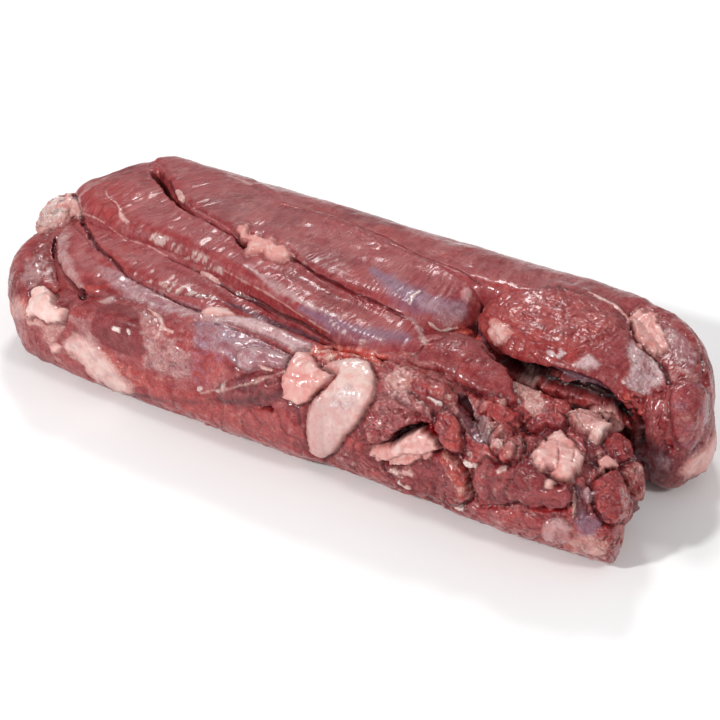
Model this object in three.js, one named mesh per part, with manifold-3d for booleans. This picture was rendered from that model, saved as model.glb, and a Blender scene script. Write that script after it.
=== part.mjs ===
// Raw lamb tenderloin: one boneless cut of long muscles that lie side by side, pressed into a loaf-shaped
// pack and held together by silverskin and fat, so the whole cut is one solid.
// Millimetres, +Z up, +X along the muscles towards the thick heads, +Y to the back.
// The origin is under the middle of the cut, on the surface that it lies on.
import * as THREE from 'three';
import { mergeVertices } from 'three/addons/utils/BufferGeometryUtils.js';
import Module from 'manifold-3d';

// The loaf that the pack has been pressed into: a rounded section, the same from end to end.
const LOAF_HALF_WIDTH = 60;
const LOAF_HEIGHT = 56;
const LOAF_POWER = 3.4;      // how square the section is: 2 is an ellipse
const LOAF_FREE = 0.94;      // share of the section inside which nothing is squeezed
const LOAF_GIVE = 0.08;      // how far past it the meat can stand, as a share of the section
const LOAF_SINK = 2.5;       // how far below the base the section would go if it weren't flat there

const FLAT_BASE_Z = 0;       // the meat has settled flat on the surface it lies on
const CENTRE_X = -3.47;      // middle of the cut in the layout below
const CENTRE_Y = -1.33;

// Steps of a muscle's surface: a ring of points every so often along it, and more at its ends.
const RING_GAP = 14;
const END_RINGS = 8;
const RING_POINTS = 20;
const CAP_POWER = 2.2;       // how blunt the ends are
const END_CROWDING = 0.35;   // share of the rings that is gathered near the ends

const MEAT_COLOUR = 0x9a585c;
const MEAT_ROUGHNESS = 0.42;

// A muscle is a row of stations along its path, each [x, y, height of its top, half width, depth].
// corner is how square its section is; ends are the lengths over which its two ends round off; proud is how
// much farther out than the rest it is pressed to.
const MUSCLES = {
  backStrip: {
    corner: 5, ends: [24, 20], proud: 0,
    stations: [[-114, 47, 53, 12, 32], [-78, 46, 55.5, 14.5, 36], [-50, 46, 56, 15, 36], [0, 43, 57, 18, 40],
      [40, 39, 57, 20, 40], [80, 44, 57, 19, 40], [110, 41, 53, 13, 36]],
  },
  topFillet: {
    corner: 6, ends: [5, 14], proud: 0.7,
    stations: [[-126, 51, 52, 8, 30], [-100, 42, 56, 17, 38], [-80, 30, 57, 19.5, 40], [-55, 20, 57, 17.2, 40],
      [-28, 17, 57, 18, 40], [0, 11, 57, 19.5, 40], [25, 8.5, 56, 18.5, 38], [50, 8, 52, 14, 34]],
  },
  longFillet: {
    corner: 6, ends: [16, 12], proud: 0.4,
    stations: [[-146.5, 31, 48, 16, 36], [-124, 22, 53, 26, 42], [-100, 10.5, 54, 22.5, 42], [-80, 3.5, 55, 15, 42],
      [-55, -2, 54, 13.5, 40], [-30, -7.5, 53, 13.5, 38], [0, -14.5, 52, 14, 38], [25, -18.5, 51, 15, 34],
      [44, -20, 46, 12, 30]],
  },
  thirdFillet: {
    corner: 5.5, ends: [10, 10], proud: 0,
    stations: [[-134, 2, 44, 6, 26], [-118, -9, 46, 10, 30], [-98, -17, 48, 12.5, 34], [-78, -20.5, 48, 14.5, 34],
      [-56, -21.5, 47, 16, 32], [-34, -25, 44, 14, 28], [-16, -29, 42, 12, 26], [8, -33, 40, 9, 24]],
  },
  fourthFillet: {
    corner: 4.5, ends: [10, 10], proud: 0.3,
    stations: [[-134, -0.5, 41, 8, 30], [-121, -15.5, 45, 13, 34], [-100, -32, 46, 14.5, 34], [-75, -33.5, 46, 12.5, 34],
      [-52, -34, 46, 7.5, 34], [-30, -38.5, 47, 5.4, 34], [-5, -39, 47, 5.4, 34], [14, -38, 45, 5, 30]],
  },
  leftEnd: {
    corner: 2.8, ends: [14, 14], proud: 0.3,
    stations: [[-143, 25, 41, 9, 30], [-141, -0.5, 41, 10.5, 27], [-137, -26.5, 38, 13, 27], [-123, -42, 35, 13, 34],
      [-108, -48.5, 32, 12, 34]],
  },
  endChunk: {
    corner: 2.6, ends: [8, 10], proud: 0,
    stations: [[-148, 17, 43, 6, 18], [-147.5, 4, 45, 8, 22], [-143, -11, 42, 8, 24]],
  },
  frontSlab: {
    corner: 4.5, ends: [14, 14], proud: 0.3,
    stations: [[-124, -45.5, 34, 10, 38], [-92, -50, 42, 12, 50], [-50, -50, 46, 14, 54], [-20, -50, 46.5, 16, 54],
      [24, -50, 46, 15, 54]],
  },
  belly: {
    corner: 3.2, ends: [20, 14], proud: 3.0,
    stations: [[-110, -45, 8, 10, 20], [-74, -49, 15, 10, 26], [-42, -51.5, 22, 11, 32], [-16, -53, 32, 11, 40],
      [4, -52, 42, 12, 46], [18, -52, 44, 10, 46]],
  },
  underFront: {
    corner: 3.4, ends: [22, 14], proud: -3.0,
    stations: [[-127, -29, 22, 19, 30], [-90, -31, 24, 26, 34], [0, -34, 26, 27, 36], [90, -36, 24, 26, 34],
      [132, -40, 20, 18, 30]],
  },
  underBack: {
    corner: 3.4, ends: [24, 20], proud: -2.5,
    stations: [[-140, 12, 30, 22, 38], [-100, 24, 30, 33, 40], [0, 26, 30, 34, 40], [90, 30, 30, 30, 40],
      [120, 34, 26, 22, 36]],
  },
  core: {
    corner: 3.0, ends: [20, 20], proud: -2,
    stations: [[-134, 6, 40, 16, 48], [-90, 0, 41, 38, 50], [0, 0, 40, 48, 50], [60, 0, 34, 42, 44],
      [96, 0, 30, 34, 40]],
  },
  rightHead: {
    corner: 3.2, ends: [10, 8], proud: 0.6,
    stations: [[48, 24, 50, 13, 26], [68, 20, 56, 24, 28], [96, 14, 56, 23.5, 28], [114, 10, 52, 18, 26],
      [127, 6, 44, 10, 20]],
  },
  rightLobe: {
    corner: 3.0, ends: [16, 10], proud: 0.4,
    stations: [[92, 46, 51, 12, 46], [116, 39, 51, 14.5, 46], [130.5, 23, 48.5, 14.5, 46], [134, 6.5, 46, 13.5, 44],
      [132, -5, 42, 12.5, 40]],
  },
  lobeFoot: {
    corner: 2.4, ends: [10, 10], proud: 0.2,
    stations: [[128, 36, 24, 10, 22], [137, 20, 27, 10.5, 26], [139, 4, 24, 10, 22]],
  },
  flap: {
    corner: 3.0, ends: [12, 10], proud: 0.8,
    stations: [[34, -28, 50, 10, 26], [54, -20, 54, 13, 30], [74, -26, 50, 11, 32], [92, -40, 43, 8, 26]],
  },
  slitMuscle: {
    corner: 2.8, ends: [10, 10], proud: 0,
    stations: [[66, -24, 42, 10, 30], [90, -26, 44, 12, 34], [114, -29, 43, 13, 36], [138, -33, 35, 11, 32]],
  },
  frontMid: {
    corner: 3.0, ends: [10, 10], proud: 1,
    stations: [[4, -50, 48, 9, 54], [30, -46, 50, 15.5, 56], [62, -48, 47.5, 14.5, 54], [84, -53, 40, 9, 46]],
  },
  frontRight: {
    corner: 3.0, ends: [10, 8], proud: 2.6,
    stations: [[70, -48, 42, 12, 50], [98, -51, 43, 15, 52], [123, -50, 40, 14, 48], [140, -44.5, 34, 11.5, 34]],
  },
};

// Fat that stands out of the meat as soft lumps: [x, y, z of the middle, half length, half width, half height].
const FAT_LUMPS = [
  [-128, -45, 32, 7, 6, 8],
  [-118, -50, 24, 6, 5, 6],
  [-4, -50, 44, 7, 6, 7],
  [8, -54, 45, 8, 6, 8],
  [-50, 2, 51, 9, 4, 5],
  [72, -56, 33, 12, 5, 6],
  [106, -50, 38, 9, 7, 9],
  [96, 42, 50, 8, 5, 4],
];
// The tongue of fat that hangs down the front: its three stations are [x, y, z, half width, half thickness].
const TONGUE = [[10, -54, 46, 8, 6], [20, -59, 30, 10, 6], [26, -56, 12, 8, 6]];
const LUMP_RINGS = 6;
const LUMP_SIDES = 9;
const LUMP_UNEVEN = 0.14;    // how much a lump's radius varies round it
const TONGUE_RINGS = 12;
const TONGUE_CAP_POWER = 4;    // how blunt its two ends are

const BELOW_BASE = [400, 200, 40];   // block taken away under the base: longer and wider than the cut

// Smooth curve through the stations: Hermite pieces whose knots stand at the root of their distances.
function stationAt(stations, share) {
  const knots = [0];
  for (let i = 1; i < stations.length; i++) {
    const [a, b] = [stations[i - 1], stations[i]];
    knots.push(knots[i - 1] + Math.sqrt(Math.hypot(b[0] - a[0], b[1] - a[1])));
  }
  const end = knots[knots.length - 1];
  const t = knots.map((knot) => knot / end);
  const slope = (i, k) => {
    if (i === 0) return (stations[1][k] - stations[0][k]) / (t[1] - t[0]);
    const last = stations.length - 1;
    if (i === last) return (stations[last][k] - stations[last - 1][k]) / (t[last] - t[last - 1]);
    const [before, after] = [t[i] - t[i - 1], t[i + 1] - t[i]];
    const rise = (stations[i][k] - stations[i - 1][k]) / before;
    const next = (stations[i + 1][k] - stations[i][k]) / after;
    return (rise * after + next * before) / (before + after);
  };
  let i = 0;
  while (i < stations.length - 2 && share >= t[i + 1]) i++;
  const gap = t[i + 1] - t[i];
  const s = (share - t[i]) / gap;
  const [s2, s3] = [s * s, s * s * s];
  return stations[i].map((value, k) => (2 * s3 - 3 * s2 + 1) * value + (s3 - 2 * s2 + s) * gap * slope(i, k)
    + (3 * s2 - 2 * s3) * stations[i + 1][k] + (s3 - s2) * gap * slope(i + 1, k));
}

const signedPower = (value, power) => Math.sign(value) * Math.abs(value) ** power;

// Points round the superellipse |across|^corner + |rise|^corner = 1, at equal steps of its length.
function sectionPoints(corner, aspect, count) {
  const fine = 2000;
  const ring = [];
  const run = [0];
  for (let i = 0; i <= fine; i++) {
    const angle = (2 * Math.PI * i) / fine;
    ring.push([signedPower(Math.cos(angle), 2 / corner), signedPower(Math.sin(angle), 2 / corner)]);
    if (i) run.push(run[i - 1] + Math.hypot(ring[i][0] - ring[i - 1][0], (ring[i][1] - ring[i - 1][1]) * aspect));
  }
  const points = [];
  let i = 0;
  for (let k = 0; k < count; k++) {
    const at = (run[fine] * k) / count;
    while (run[i + 1] < at) i++;
    points.push(ring[i]);
  }
  return points;
}

// Squeezes what stands out of the loaf back towards it.
function press(point, proud = 0) {
  const middle = LOAF_HEIGHT / 2;
  const up = point.z - middle;
  const y = Math.abs(point.y) / (LOAF_HALF_WIDTH + proud);
  const z = Math.abs(up) / (middle + (up > 0 ? proud : LOAF_SINK));
  const reach = (y ** LOAF_POWER + z ** LOAF_POWER) ** (1 / LOAF_POWER);
  if (reach > LOAF_FREE) {
    const kept = LOAF_FREE + LOAF_GIVE * (1 - Math.exp(-(reach - LOAF_FREE) / LOAF_GIVE));
    point.y *= kept / reach;
    point.z = middle + (up * kept) / reach;
  }
  return point;
}

// Closed surface from rings of points: quads between neighbouring rings and a fan over each end.
function closedRings(rings, firstTip, lastTip) {
  const sides = rings[0].length;
  const positions = [...rings.flat(), firstTip, lastTip].flatMap((p) => [p.x, p.y, p.z]);
  const [first, last] = [rings.length * sides, rings.length * sides + 1];
  const faces = [];
  for (let k = 0; k < sides; k++) {
    const next = (k + 1) % sides;
    const end = (rings.length - 1) * sides;
    faces.push(first, next, k, last, end + k, end + next);
    for (let i = 0; i + 1 < rings.length; i++) {
      const [a, b] = [i * sides + k, i * sides + next];
      faces.push(a, b, a + sides, b, b + sides, a + sides);
    }
  }
  const geometry = new THREE.BufferGeometry();
  geometry.setAttribute('position', new THREE.Float32BufferAttribute(positions, 3));
  geometry.setIndex(faces);
  return geometry;
}

// A muscle: the section carried along its path, level across, shrinking to round ends, then pressed.
function muscleGeometry({ stations, corner, ends, proud }) {
  const chord = stations.slice(1).reduce((sum, [x, y], i) => {
    const [fromX, fromY] = stations[i];
    return sum + Math.hypot(x - fromX, y - fromY);
  }, 0);
  const last = Math.round(chord / RING_GAP) + END_RINGS;
  const mid = [];
  for (let i = 0; i <= last; i++) {
    const k = i / last;
    mid.push(stationAt(stations, END_CROWDING * (0.5 - 0.5 * Math.cos(Math.PI * k)) + (1 - END_CROWDING) * k));
  }
  const run = [0];
  for (let i = 1; i <= last; i++) {
    run.push(run[i - 1] + Math.hypot(mid[i][0] - mid[i - 1][0], mid[i][1] - mid[i - 1][1]));
  }
  const mean = (k) => stations.reduce((sum, station) => sum + station[k], 0) / stations.length;
  const section = sectionPoints(corner, (0.5 * mean(4)) / mean(3), RING_POINTS);
  const ringAt = (i) => {
    const [x, y, top, halfWidth, depth] = mid[i];
    const [from, to] = [mid[Math.max(i - 1, 0)], mid[Math.min(i + 1, last)]];
    const ahead = new THREE.Vector2(to[0] - from[0], to[1] - from[1]).normalize();
    const near = [run[i] / ends[0], (run[last] - run[i]) / ends[1]].map((s) => Math.max(1 - s, 0));
    const size = near.reduce((all, s) => all * (1 - s ** CAP_POWER) ** (1 / CAP_POWER), 1);
    return section.map(([across, rise]) => press(new THREE.Vector3(
      x - ahead.y * halfWidth * size * across,
      y + ahead.x * halfWidth * size * across,
      top - depth / 2 + (depth / 2) * size * rise,
    ), proud));
  };
  const rings = [];
  for (let i = 1; i < last; i++) rings.push(ringAt(i));
  const tip = ([x, y, top, , depth]) => press(new THREE.Vector3(x, y, top - depth / 2), proud);
  return closedRings(rings, tip(mid[0]), tip(mid[last]));
}

// A lump of fat: an egg whose radius swells and shrinks in a few waves round and along it.
function lumpGeometry([x, y, z, halfLength, halfWidth, halfHeight], index) {
  const place = (lift, turn) => {
    const wave = Math.sin(3 * turn + index) * Math.sin(2 * lift + 2 * index);
    const radius = 1 + LUMP_UNEVEN * wave * Math.cos(lift);
    return press(new THREE.Vector3(
      x + halfLength * radius * Math.cos(lift) * Math.cos(turn),
      y + halfWidth * radius * Math.cos(lift) * Math.sin(turn),
      z + halfHeight * radius * Math.sin(lift),
    ));
  };
  const rings = [];
  for (let i = 1; i < LUMP_RINGS; i++) {
    const lift = -Math.PI / 2 + (Math.PI * i) / LUMP_RINGS;
    rings.push(Array.from({ length: LUMP_SIDES }, (_, k) => place(lift, (2 * Math.PI * k) / LUMP_SIDES)));
  }
  return closedRings(rings, place(-Math.PI / 2, 0), place(Math.PI / 2, 0));
}

// The tongue of fat: an oval section carried down its three stations, with round ends.
function tongueGeometry() {
  const rings = [];
  const at = (share) => stationAt(TONGUE, share);
  for (let i = 1; i < TONGUE_RINGS; i++) {
    const share = i / TONGUE_RINGS;
    const [x, y, z, halfWidth, halfThickness] = at(share);
    const size = Math.sqrt(1 - (2 * share - 1) ** TONGUE_CAP_POWER);
    rings.push(Array.from({ length: LUMP_SIDES }, (_, k) => {
      const turn = (2 * Math.PI * k) / LUMP_SIDES;
      return press(new THREE.Vector3(
        x + halfWidth * size * Math.cos(turn),
        y - halfThickness * size * Math.sin(turn),
        z,
      ));
    }));
  }
  const tip = (share) => new THREE.Vector3(...at(share).slice(0, 3));
  return closedRings(rings, tip(0), tip(1));
}

const wasm = await Module();
wasm.setup();

function solidFrom(geometry) {
  geometry.deleteAttribute('normal');
  geometry.deleteAttribute('uv');
  const merged = mergeVertices(geometry);
  return new wasm.Manifold(new wasm.Mesh({
    numProp: 3,
    vertProperties: new Float32Array(merged.attributes.position.array),
    triVerts: new Uint32Array(merged.index.array),
  }));
}

function geometryFrom(solid) {
  const { vertProperties, triVerts } = solid.getMesh();
  const geometry = new THREE.BufferGeometry();
  geometry.setAttribute('position', new THREE.Float32BufferAttribute(vertProperties, 3));
  geometry.setIndex(new THREE.Uint32BufferAttribute(triVerts, 1));
  return geometry;
}

// Everything below the surface that the cut lies on, as one closed block to take away.
function belowBase() {
  const [length, width, height] = BELOW_BASE;
  return new THREE.BoxGeometry(length, width, height).translate(0, 0, FLAT_BASE_Z - height / 2);
}

function tenderloinGeometry() {
  const pieces = [
    ...Object.values(MUSCLES).map(muscleGeometry),
    ...FAT_LUMPS.map(lumpGeometry),
    tongueGeometry(),
  ].map(solidFrom);
  const joined = pieces.reduce((all, piece) => all.add(piece));
  return geometryFrom(joined.subtract(solidFrom(belowBase())));
}

const meat = new THREE.MeshStandardMaterial({
  color: MEAT_COLOUR,
  roughness: MEAT_ROUGHNESS,
  metalness: 0,
  flatShading: true,
});

const tenderloin = new THREE.Mesh(tenderloinGeometry(), meat);
tenderloin.name = 'tenderloin';
tenderloin.position.set(-CENTRE_X, -CENTRE_Y, 0);

const cut = new THREE.Group();
cut.add(tenderloin);

export default cut;
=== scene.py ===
# Raw lamb tenderloin: long muscles side by side, pressed into a loaf and joined by silverskin and fat.
# The shapes are worked out in millimetres, in the layout that the solid has too, and put in metres at the end.
import math

import bpy
import numpy as np
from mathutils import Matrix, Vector
from mathutils.bvhtree import BVHTree


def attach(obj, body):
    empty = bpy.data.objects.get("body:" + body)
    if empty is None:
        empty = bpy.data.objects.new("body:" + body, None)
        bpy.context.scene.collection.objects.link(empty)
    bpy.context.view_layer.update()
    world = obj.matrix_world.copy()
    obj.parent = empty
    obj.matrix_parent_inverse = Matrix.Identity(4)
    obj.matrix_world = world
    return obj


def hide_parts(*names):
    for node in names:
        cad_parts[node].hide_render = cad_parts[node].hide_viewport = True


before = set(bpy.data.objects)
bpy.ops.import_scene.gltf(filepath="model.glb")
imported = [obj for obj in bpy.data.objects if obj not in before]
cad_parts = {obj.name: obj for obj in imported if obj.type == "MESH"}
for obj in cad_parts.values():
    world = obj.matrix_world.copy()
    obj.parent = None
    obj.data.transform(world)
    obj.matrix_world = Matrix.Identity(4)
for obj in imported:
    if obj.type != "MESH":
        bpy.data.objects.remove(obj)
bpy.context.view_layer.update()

NODE = "tenderloin"
BODY = "root"

# The loaf that the pack has been pressed into, as in the solid.
LOAF_HALF_WIDTH = 60.0
LOAF_HEIGHT = 56.0
LOAF_POWER = 3.4
LOAF_FREE = 0.94
LOAF_GIVE = 0.08
LOAF_SINK = 2.5          # how far below the base the section would go if it weren't flat there
CENTRE = np.array([-3.47, -1.33, 0.0])     # middle of the cut in the layout
METRES = 0.001
CAP_POWER = 2.2
END_CROWDING = 0.35

# The photograph's frame and the camera that took it, in the layout.
FRAME_PIXELS = 720
AZIMUTH = math.radians(30.0)
ELEVATION = math.radians(35.0)
LENS = 110.0
SENSOR = 36.0
DISTANCE = 880.0
PIXELS_PER_MM = 2.5      # on the cut, in the photograph
TARGET = np.array([8.0, -10.0, 24.0])

# Size of the steps of a muscle's surface, of those with the finest relief and of those that hardly show.
STEP = 0.60
FINE_STEP = 0.42
COARSE_STEP = 0.95
FINE_BIAS = 1.6          # how much denser the side that shows is


def colour(red, green, blue):
    """A screen colour from 0 to 255 as linear light."""
    c = np.array([red, green, blue]) / 255.0
    return np.where(c <= 0.04045, c / 12.92, ((c + 0.055) / 1.055) ** 2.4)


MEAT = colour(145, 50, 54)
# Darker meat; also laid in the troughs of the cross wrinkles as painted shade.
MEAT_DARK_AND_SHADE = colour(105, 23, 29)
MEAT_BRIGHT = colour(158, 48, 46)
# Paler meat; also laid on wrinkle and chunk crests and along a lip as painted highlight.
MEAT_PALE_AND_HIGHLIGHT = colour(168, 94, 93)
BLOOD = colour(140, 12, 20)
ORANGE = colour(192, 70, 60)
LILAC = colour(130, 87, 107)
# Dark lilac of silverskin; also laid as painted shade under overhangs and in shaded hollows.
DARK_LILAC_AND_SHADE = colour(100, 60, 70)
SILVER = colour(200, 164, 166)
# Smoky silverskin; also the colour of painted highlights on the left end.
SMOKE_AND_HIGHLIGHT = colour(184, 140, 140)
SHEATH = colour(162, 113, 120)
# Pink fat; also the colour of painted glints along some ridges and seams.
FAT_PINK_AND_HIGHLIGHT = colour(212, 158, 151)
# White fat; also the colour of painted highlights and glint ticks.
FAT_WHITE_AND_HIGHLIGHT = colour(227, 199, 191)
# Painted shade: dark red laid in creases, seams and grooves, where shade falls.
CREASE_SHADE = colour(88, 14, 22)
# Painted shadow: very dark red laid in slits, holes and deep grooves.
HOLLOW_SHADOW = colour(52, 6, 11)
# Painted shadow: near black, laid in the deepest gaps and cavities.
DEEP_SHADOW = colour(24, 6, 8)
# Painted shade in the folds of fat.
FAT_CREASE_SHADE = colour(192, 112, 104)
FAT_EDGE = colour(196, 104, 98)

# A muscle's stations are [x, y, height of its top, half width, depth]; corner is how square its section is,
# ends are the lengths over which its two ends round off, show is the side that the fine steps face (across,
# up), grain is the depth of its cross wrinkles and rough the depth of its torn, crumbly relief.
MUSCLES = {
    "back_strip": dict(
        corner=5, ends=(24, 20), proud=0.0, show=(0.6, 0.8),
        grain=0.28, rough=0.05,
        stations=[(-114, 47, 53, 12, 32), (-78, 46, 55.5, 14.5, 36), (-50, 46, 56, 15, 36), (0, 43, 57, 18, 40),
                  (40, 39, 57, 20, 40), (80, 44, 57, 19, 40), (110, 41, 53, 13, 36)]),
    "top_fillet": dict(
        corner=6, ends=(5, 14), proud=0.7, show=(0.0, 1.0),
        grain=0.36, rough=0.0,
        stations=[(-126, 51, 52, 8, 30), (-100, 42, 56, 17, 38), (-80, 30, 57, 19.5, 40),
                  (-55, 20, 57, 17.2, 40), (-28, 17, 57, 18, 40), (0, 11, 57, 19.5, 40),
                  (25, 8.5, 56, 18.5, 38), (50, 8, 52, 14, 34)]),
    "long_fillet": dict(
        corner=6, ends=(16, 12), proud=0.4, show=(0.0, 1.0),
        grain=0.36, rough=0.0,
        stations=[(-146.5, 31, 48, 16, 36), (-124, 22, 53, 26, 42), (-100, 10.5, 54, 22.5, 42),
                  (-80, 3.5, 55, 15, 42), (-55, -2, 54, 13.5, 40), (-30, -7.5, 53, 13.5, 38),
                  (0, -14.5, 52, 14, 38), (25, -18.5, 51, 15, 34), (44, -20, 46, 12, 30)]),
    "third_fillet": dict(
        corner=5.5, ends=(10, 10), proud=0.0, show=(0.0, 1.0),
        grain=0.38, rough=0.0,
        stations=[(-134, 2, 44, 6, 26), (-118, -9, 46, 10, 30), (-98, -17, 48, 12.5, 34),
                  (-78, -20.5, 48, 14.5, 34), (-56, -21.5, 47, 16, 32), (-34, -25, 44, 14, 28),
                  (-16, -29, 42, 12, 26), (8, -33, 40, 9, 24)]),
    "fourth_fillet": dict(
        corner=4.5, ends=(10, 10), proud=0.3, show=(-0.3, 0.95),
        grain=0.32, rough=0.0,
        stations=[(-134, -0.5, 41, 8, 30), (-121, -15.5, 45, 13, 34), (-100, -32, 46, 14.5, 34),
                  (-75, -33.5, 46, 12.5, 34), (-52, -34, 46, 7.5, 34), (-30, -38.5, 47, 5.4, 34),
                  (-5, -39, 47, 5.4, 34), (14, -38, 45, 5, 30)]),
    "left_end": dict(
        corner=2.8, ends=(14, 14), proud=0.3, show=(-0.7, 0.7),
        grain=0.34, rough=0.15,
        stations=[(-143, 25, 41, 9, 30), (-141, -0.5, 41, 10.5, 27), (-137, -26.5, 38, 13, 27),
                  (-123, -42, 35, 13, 34), (-108, -48.5, 32, 12, 34)]),
    "end_chunk": dict(
        corner=2.6, ends=(8, 10), proud=0.0, show=(-0.5, 0.85),
        grain=0.08, rough=0.38, step=FINE_STEP,
        stations=[(-148, 17, 43, 6, 18), (-147.5, 4, 45, 8, 22), (-143, -11, 42, 8, 24)]),
    "front_slab": dict(
        corner=4.5, ends=(14, 14), proud=0.3, show=(-0.85, 0.5),
        grain=0.06, rough=0.1,
        stations=[(-124, -45.5, 34, 10, 38), (-92, -50, 42, 12, 50), (-50, -50, 46, 14, 54),
                  (-20, -50, 46.5, 16, 54), (24, -50, 46, 15, 54)]),
    "belly": dict(
        corner=3.2, ends=(20, 14), proud=3.0, show=(-0.85, 0.5),
        grain=0.08, rough=0.2,
        stations=[(-110, -45, 8, 10, 20), (-74, -49, 15, 10, 26), (-42, -51.5, 22, 11, 32),
                  (-16, -53, 32, 11, 40), (4, -52, 42, 12, 46), (18, -52, 44, 10, 46)]),
    "under_front": dict(
        corner=3.4, ends=(22, 14), proud=-3.0, show=(-0.9, -0.3),
        grain=0.08, rough=0.1, step=COARSE_STEP,
        stations=[(-127, -29, 22, 19, 30), (-90, -31, 24, 26, 34), (0, -34, 26, 27, 36),
                  (90, -36, 24, 26, 34), (132, -40, 20, 18, 30)]),
    "under_back": dict(
        corner=3.4, ends=(24, 20), proud=-2.5, show=(0.9, -0.3),
        grain=0.08, rough=0.1, step=COARSE_STEP,
        stations=[(-140, 12, 30, 22, 38), (-100, 24, 30, 33, 40), (0, 26, 30, 34, 40), (90, 30, 30, 30, 40),
                  (120, 34, 26, 22, 36)]),
    "core": dict(
        corner=3.0, ends=(20, 20), proud=-2.0, show=(0.0, 1.0),
        grain=0.08, rough=0.1, step=COARSE_STEP,
        stations=[(-134, 6, 40, 16, 48), (-90, 0, 41, 38, 50), (0, 0, 40, 48, 50), (60, 0, 34, 42, 44),
                  (96, 0, 30, 34, 40)]),
    "right_head": dict(
        corner=3.2, ends=(10, 8), proud=0.6, show=(0.0, 1.0),
        grain=0.22, rough=0.16, step=FINE_STEP,
        stations=[(48, 24, 50, 13, 26), (68, 20, 56, 24, 28), (96, 14, 56, 23.5, 28), (114, 10, 52, 18, 26),
                  (127, 6, 44, 10, 20)]),
    "right_lobe": dict(
        corner=3.0, ends=(16, 10), proud=0.4, show=(0.6, 0.6),
        grain=0.08, rough=0.2, step=FINE_STEP,
        stations=[(92, 46, 51, 12, 46), (116, 39, 51, 14.5, 46), (130.5, 23, 48.5, 14.5, 46), (134, 6.5, 46, 13.5, 44),
                  (132, -5, 42, 12.5, 40)]),
    "lobe_foot": dict(
        corner=2.4, ends=(10, 10), proud=0.2, show=(0.7, 0.5),
        grain=0.05, rough=0.3,
        stations=[(128, 36, 24, 10, 22), (137, 20, 27, 10.5, 26), (139, 4, 24, 10, 22)]),
    "flap": dict(
        corner=3.0, ends=(12, 10), proud=0.8, show=(0.0, 1.0),
        grain=0.16, rough=0.08, step=FINE_STEP,
        stations=[(34, -28, 50, 10, 26), (54, -20, 54, 13, 30), (74, -26, 50, 11, 32), (92, -40, 43, 8, 26)]),
    "slit_muscle": dict(
        corner=2.8, ends=(10, 10), proud=0.0, show=(0.0, 1.0),
        grain=0.08, rough=0.42, step=FINE_STEP,
        stations=[(66, -24, 42, 10, 30), (90, -26, 44, 12, 34), (114, -29, 43, 13, 36),
                  (138, -33, 35, 11, 32)]),
    "front_mid": dict(
        corner=3.0, ends=(10, 10), proud=1.0, show=(-0.6, 0.75),
        grain=0.05, rough=0.34, step=FINE_STEP,
        stations=[(4, -50, 48, 9, 54), (30, -46, 50, 15.5, 56), (62, -48, 47.5, 14.5, 54), (84, -53, 40, 9, 46)]),
    "front_right": dict(
        corner=3.0, ends=(10, 8), proud=2.6, show=(-0.6, 0.75),
        grain=0.05, rough=0.42, step=FINE_STEP,
        stations=[(70, -48, 42, 12, 50), (98, -51, 43, 15, 52), (123, -50, 40, 14, 48),
                  (140, -44.5, 34, 11.5, 34)]),
}
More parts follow.
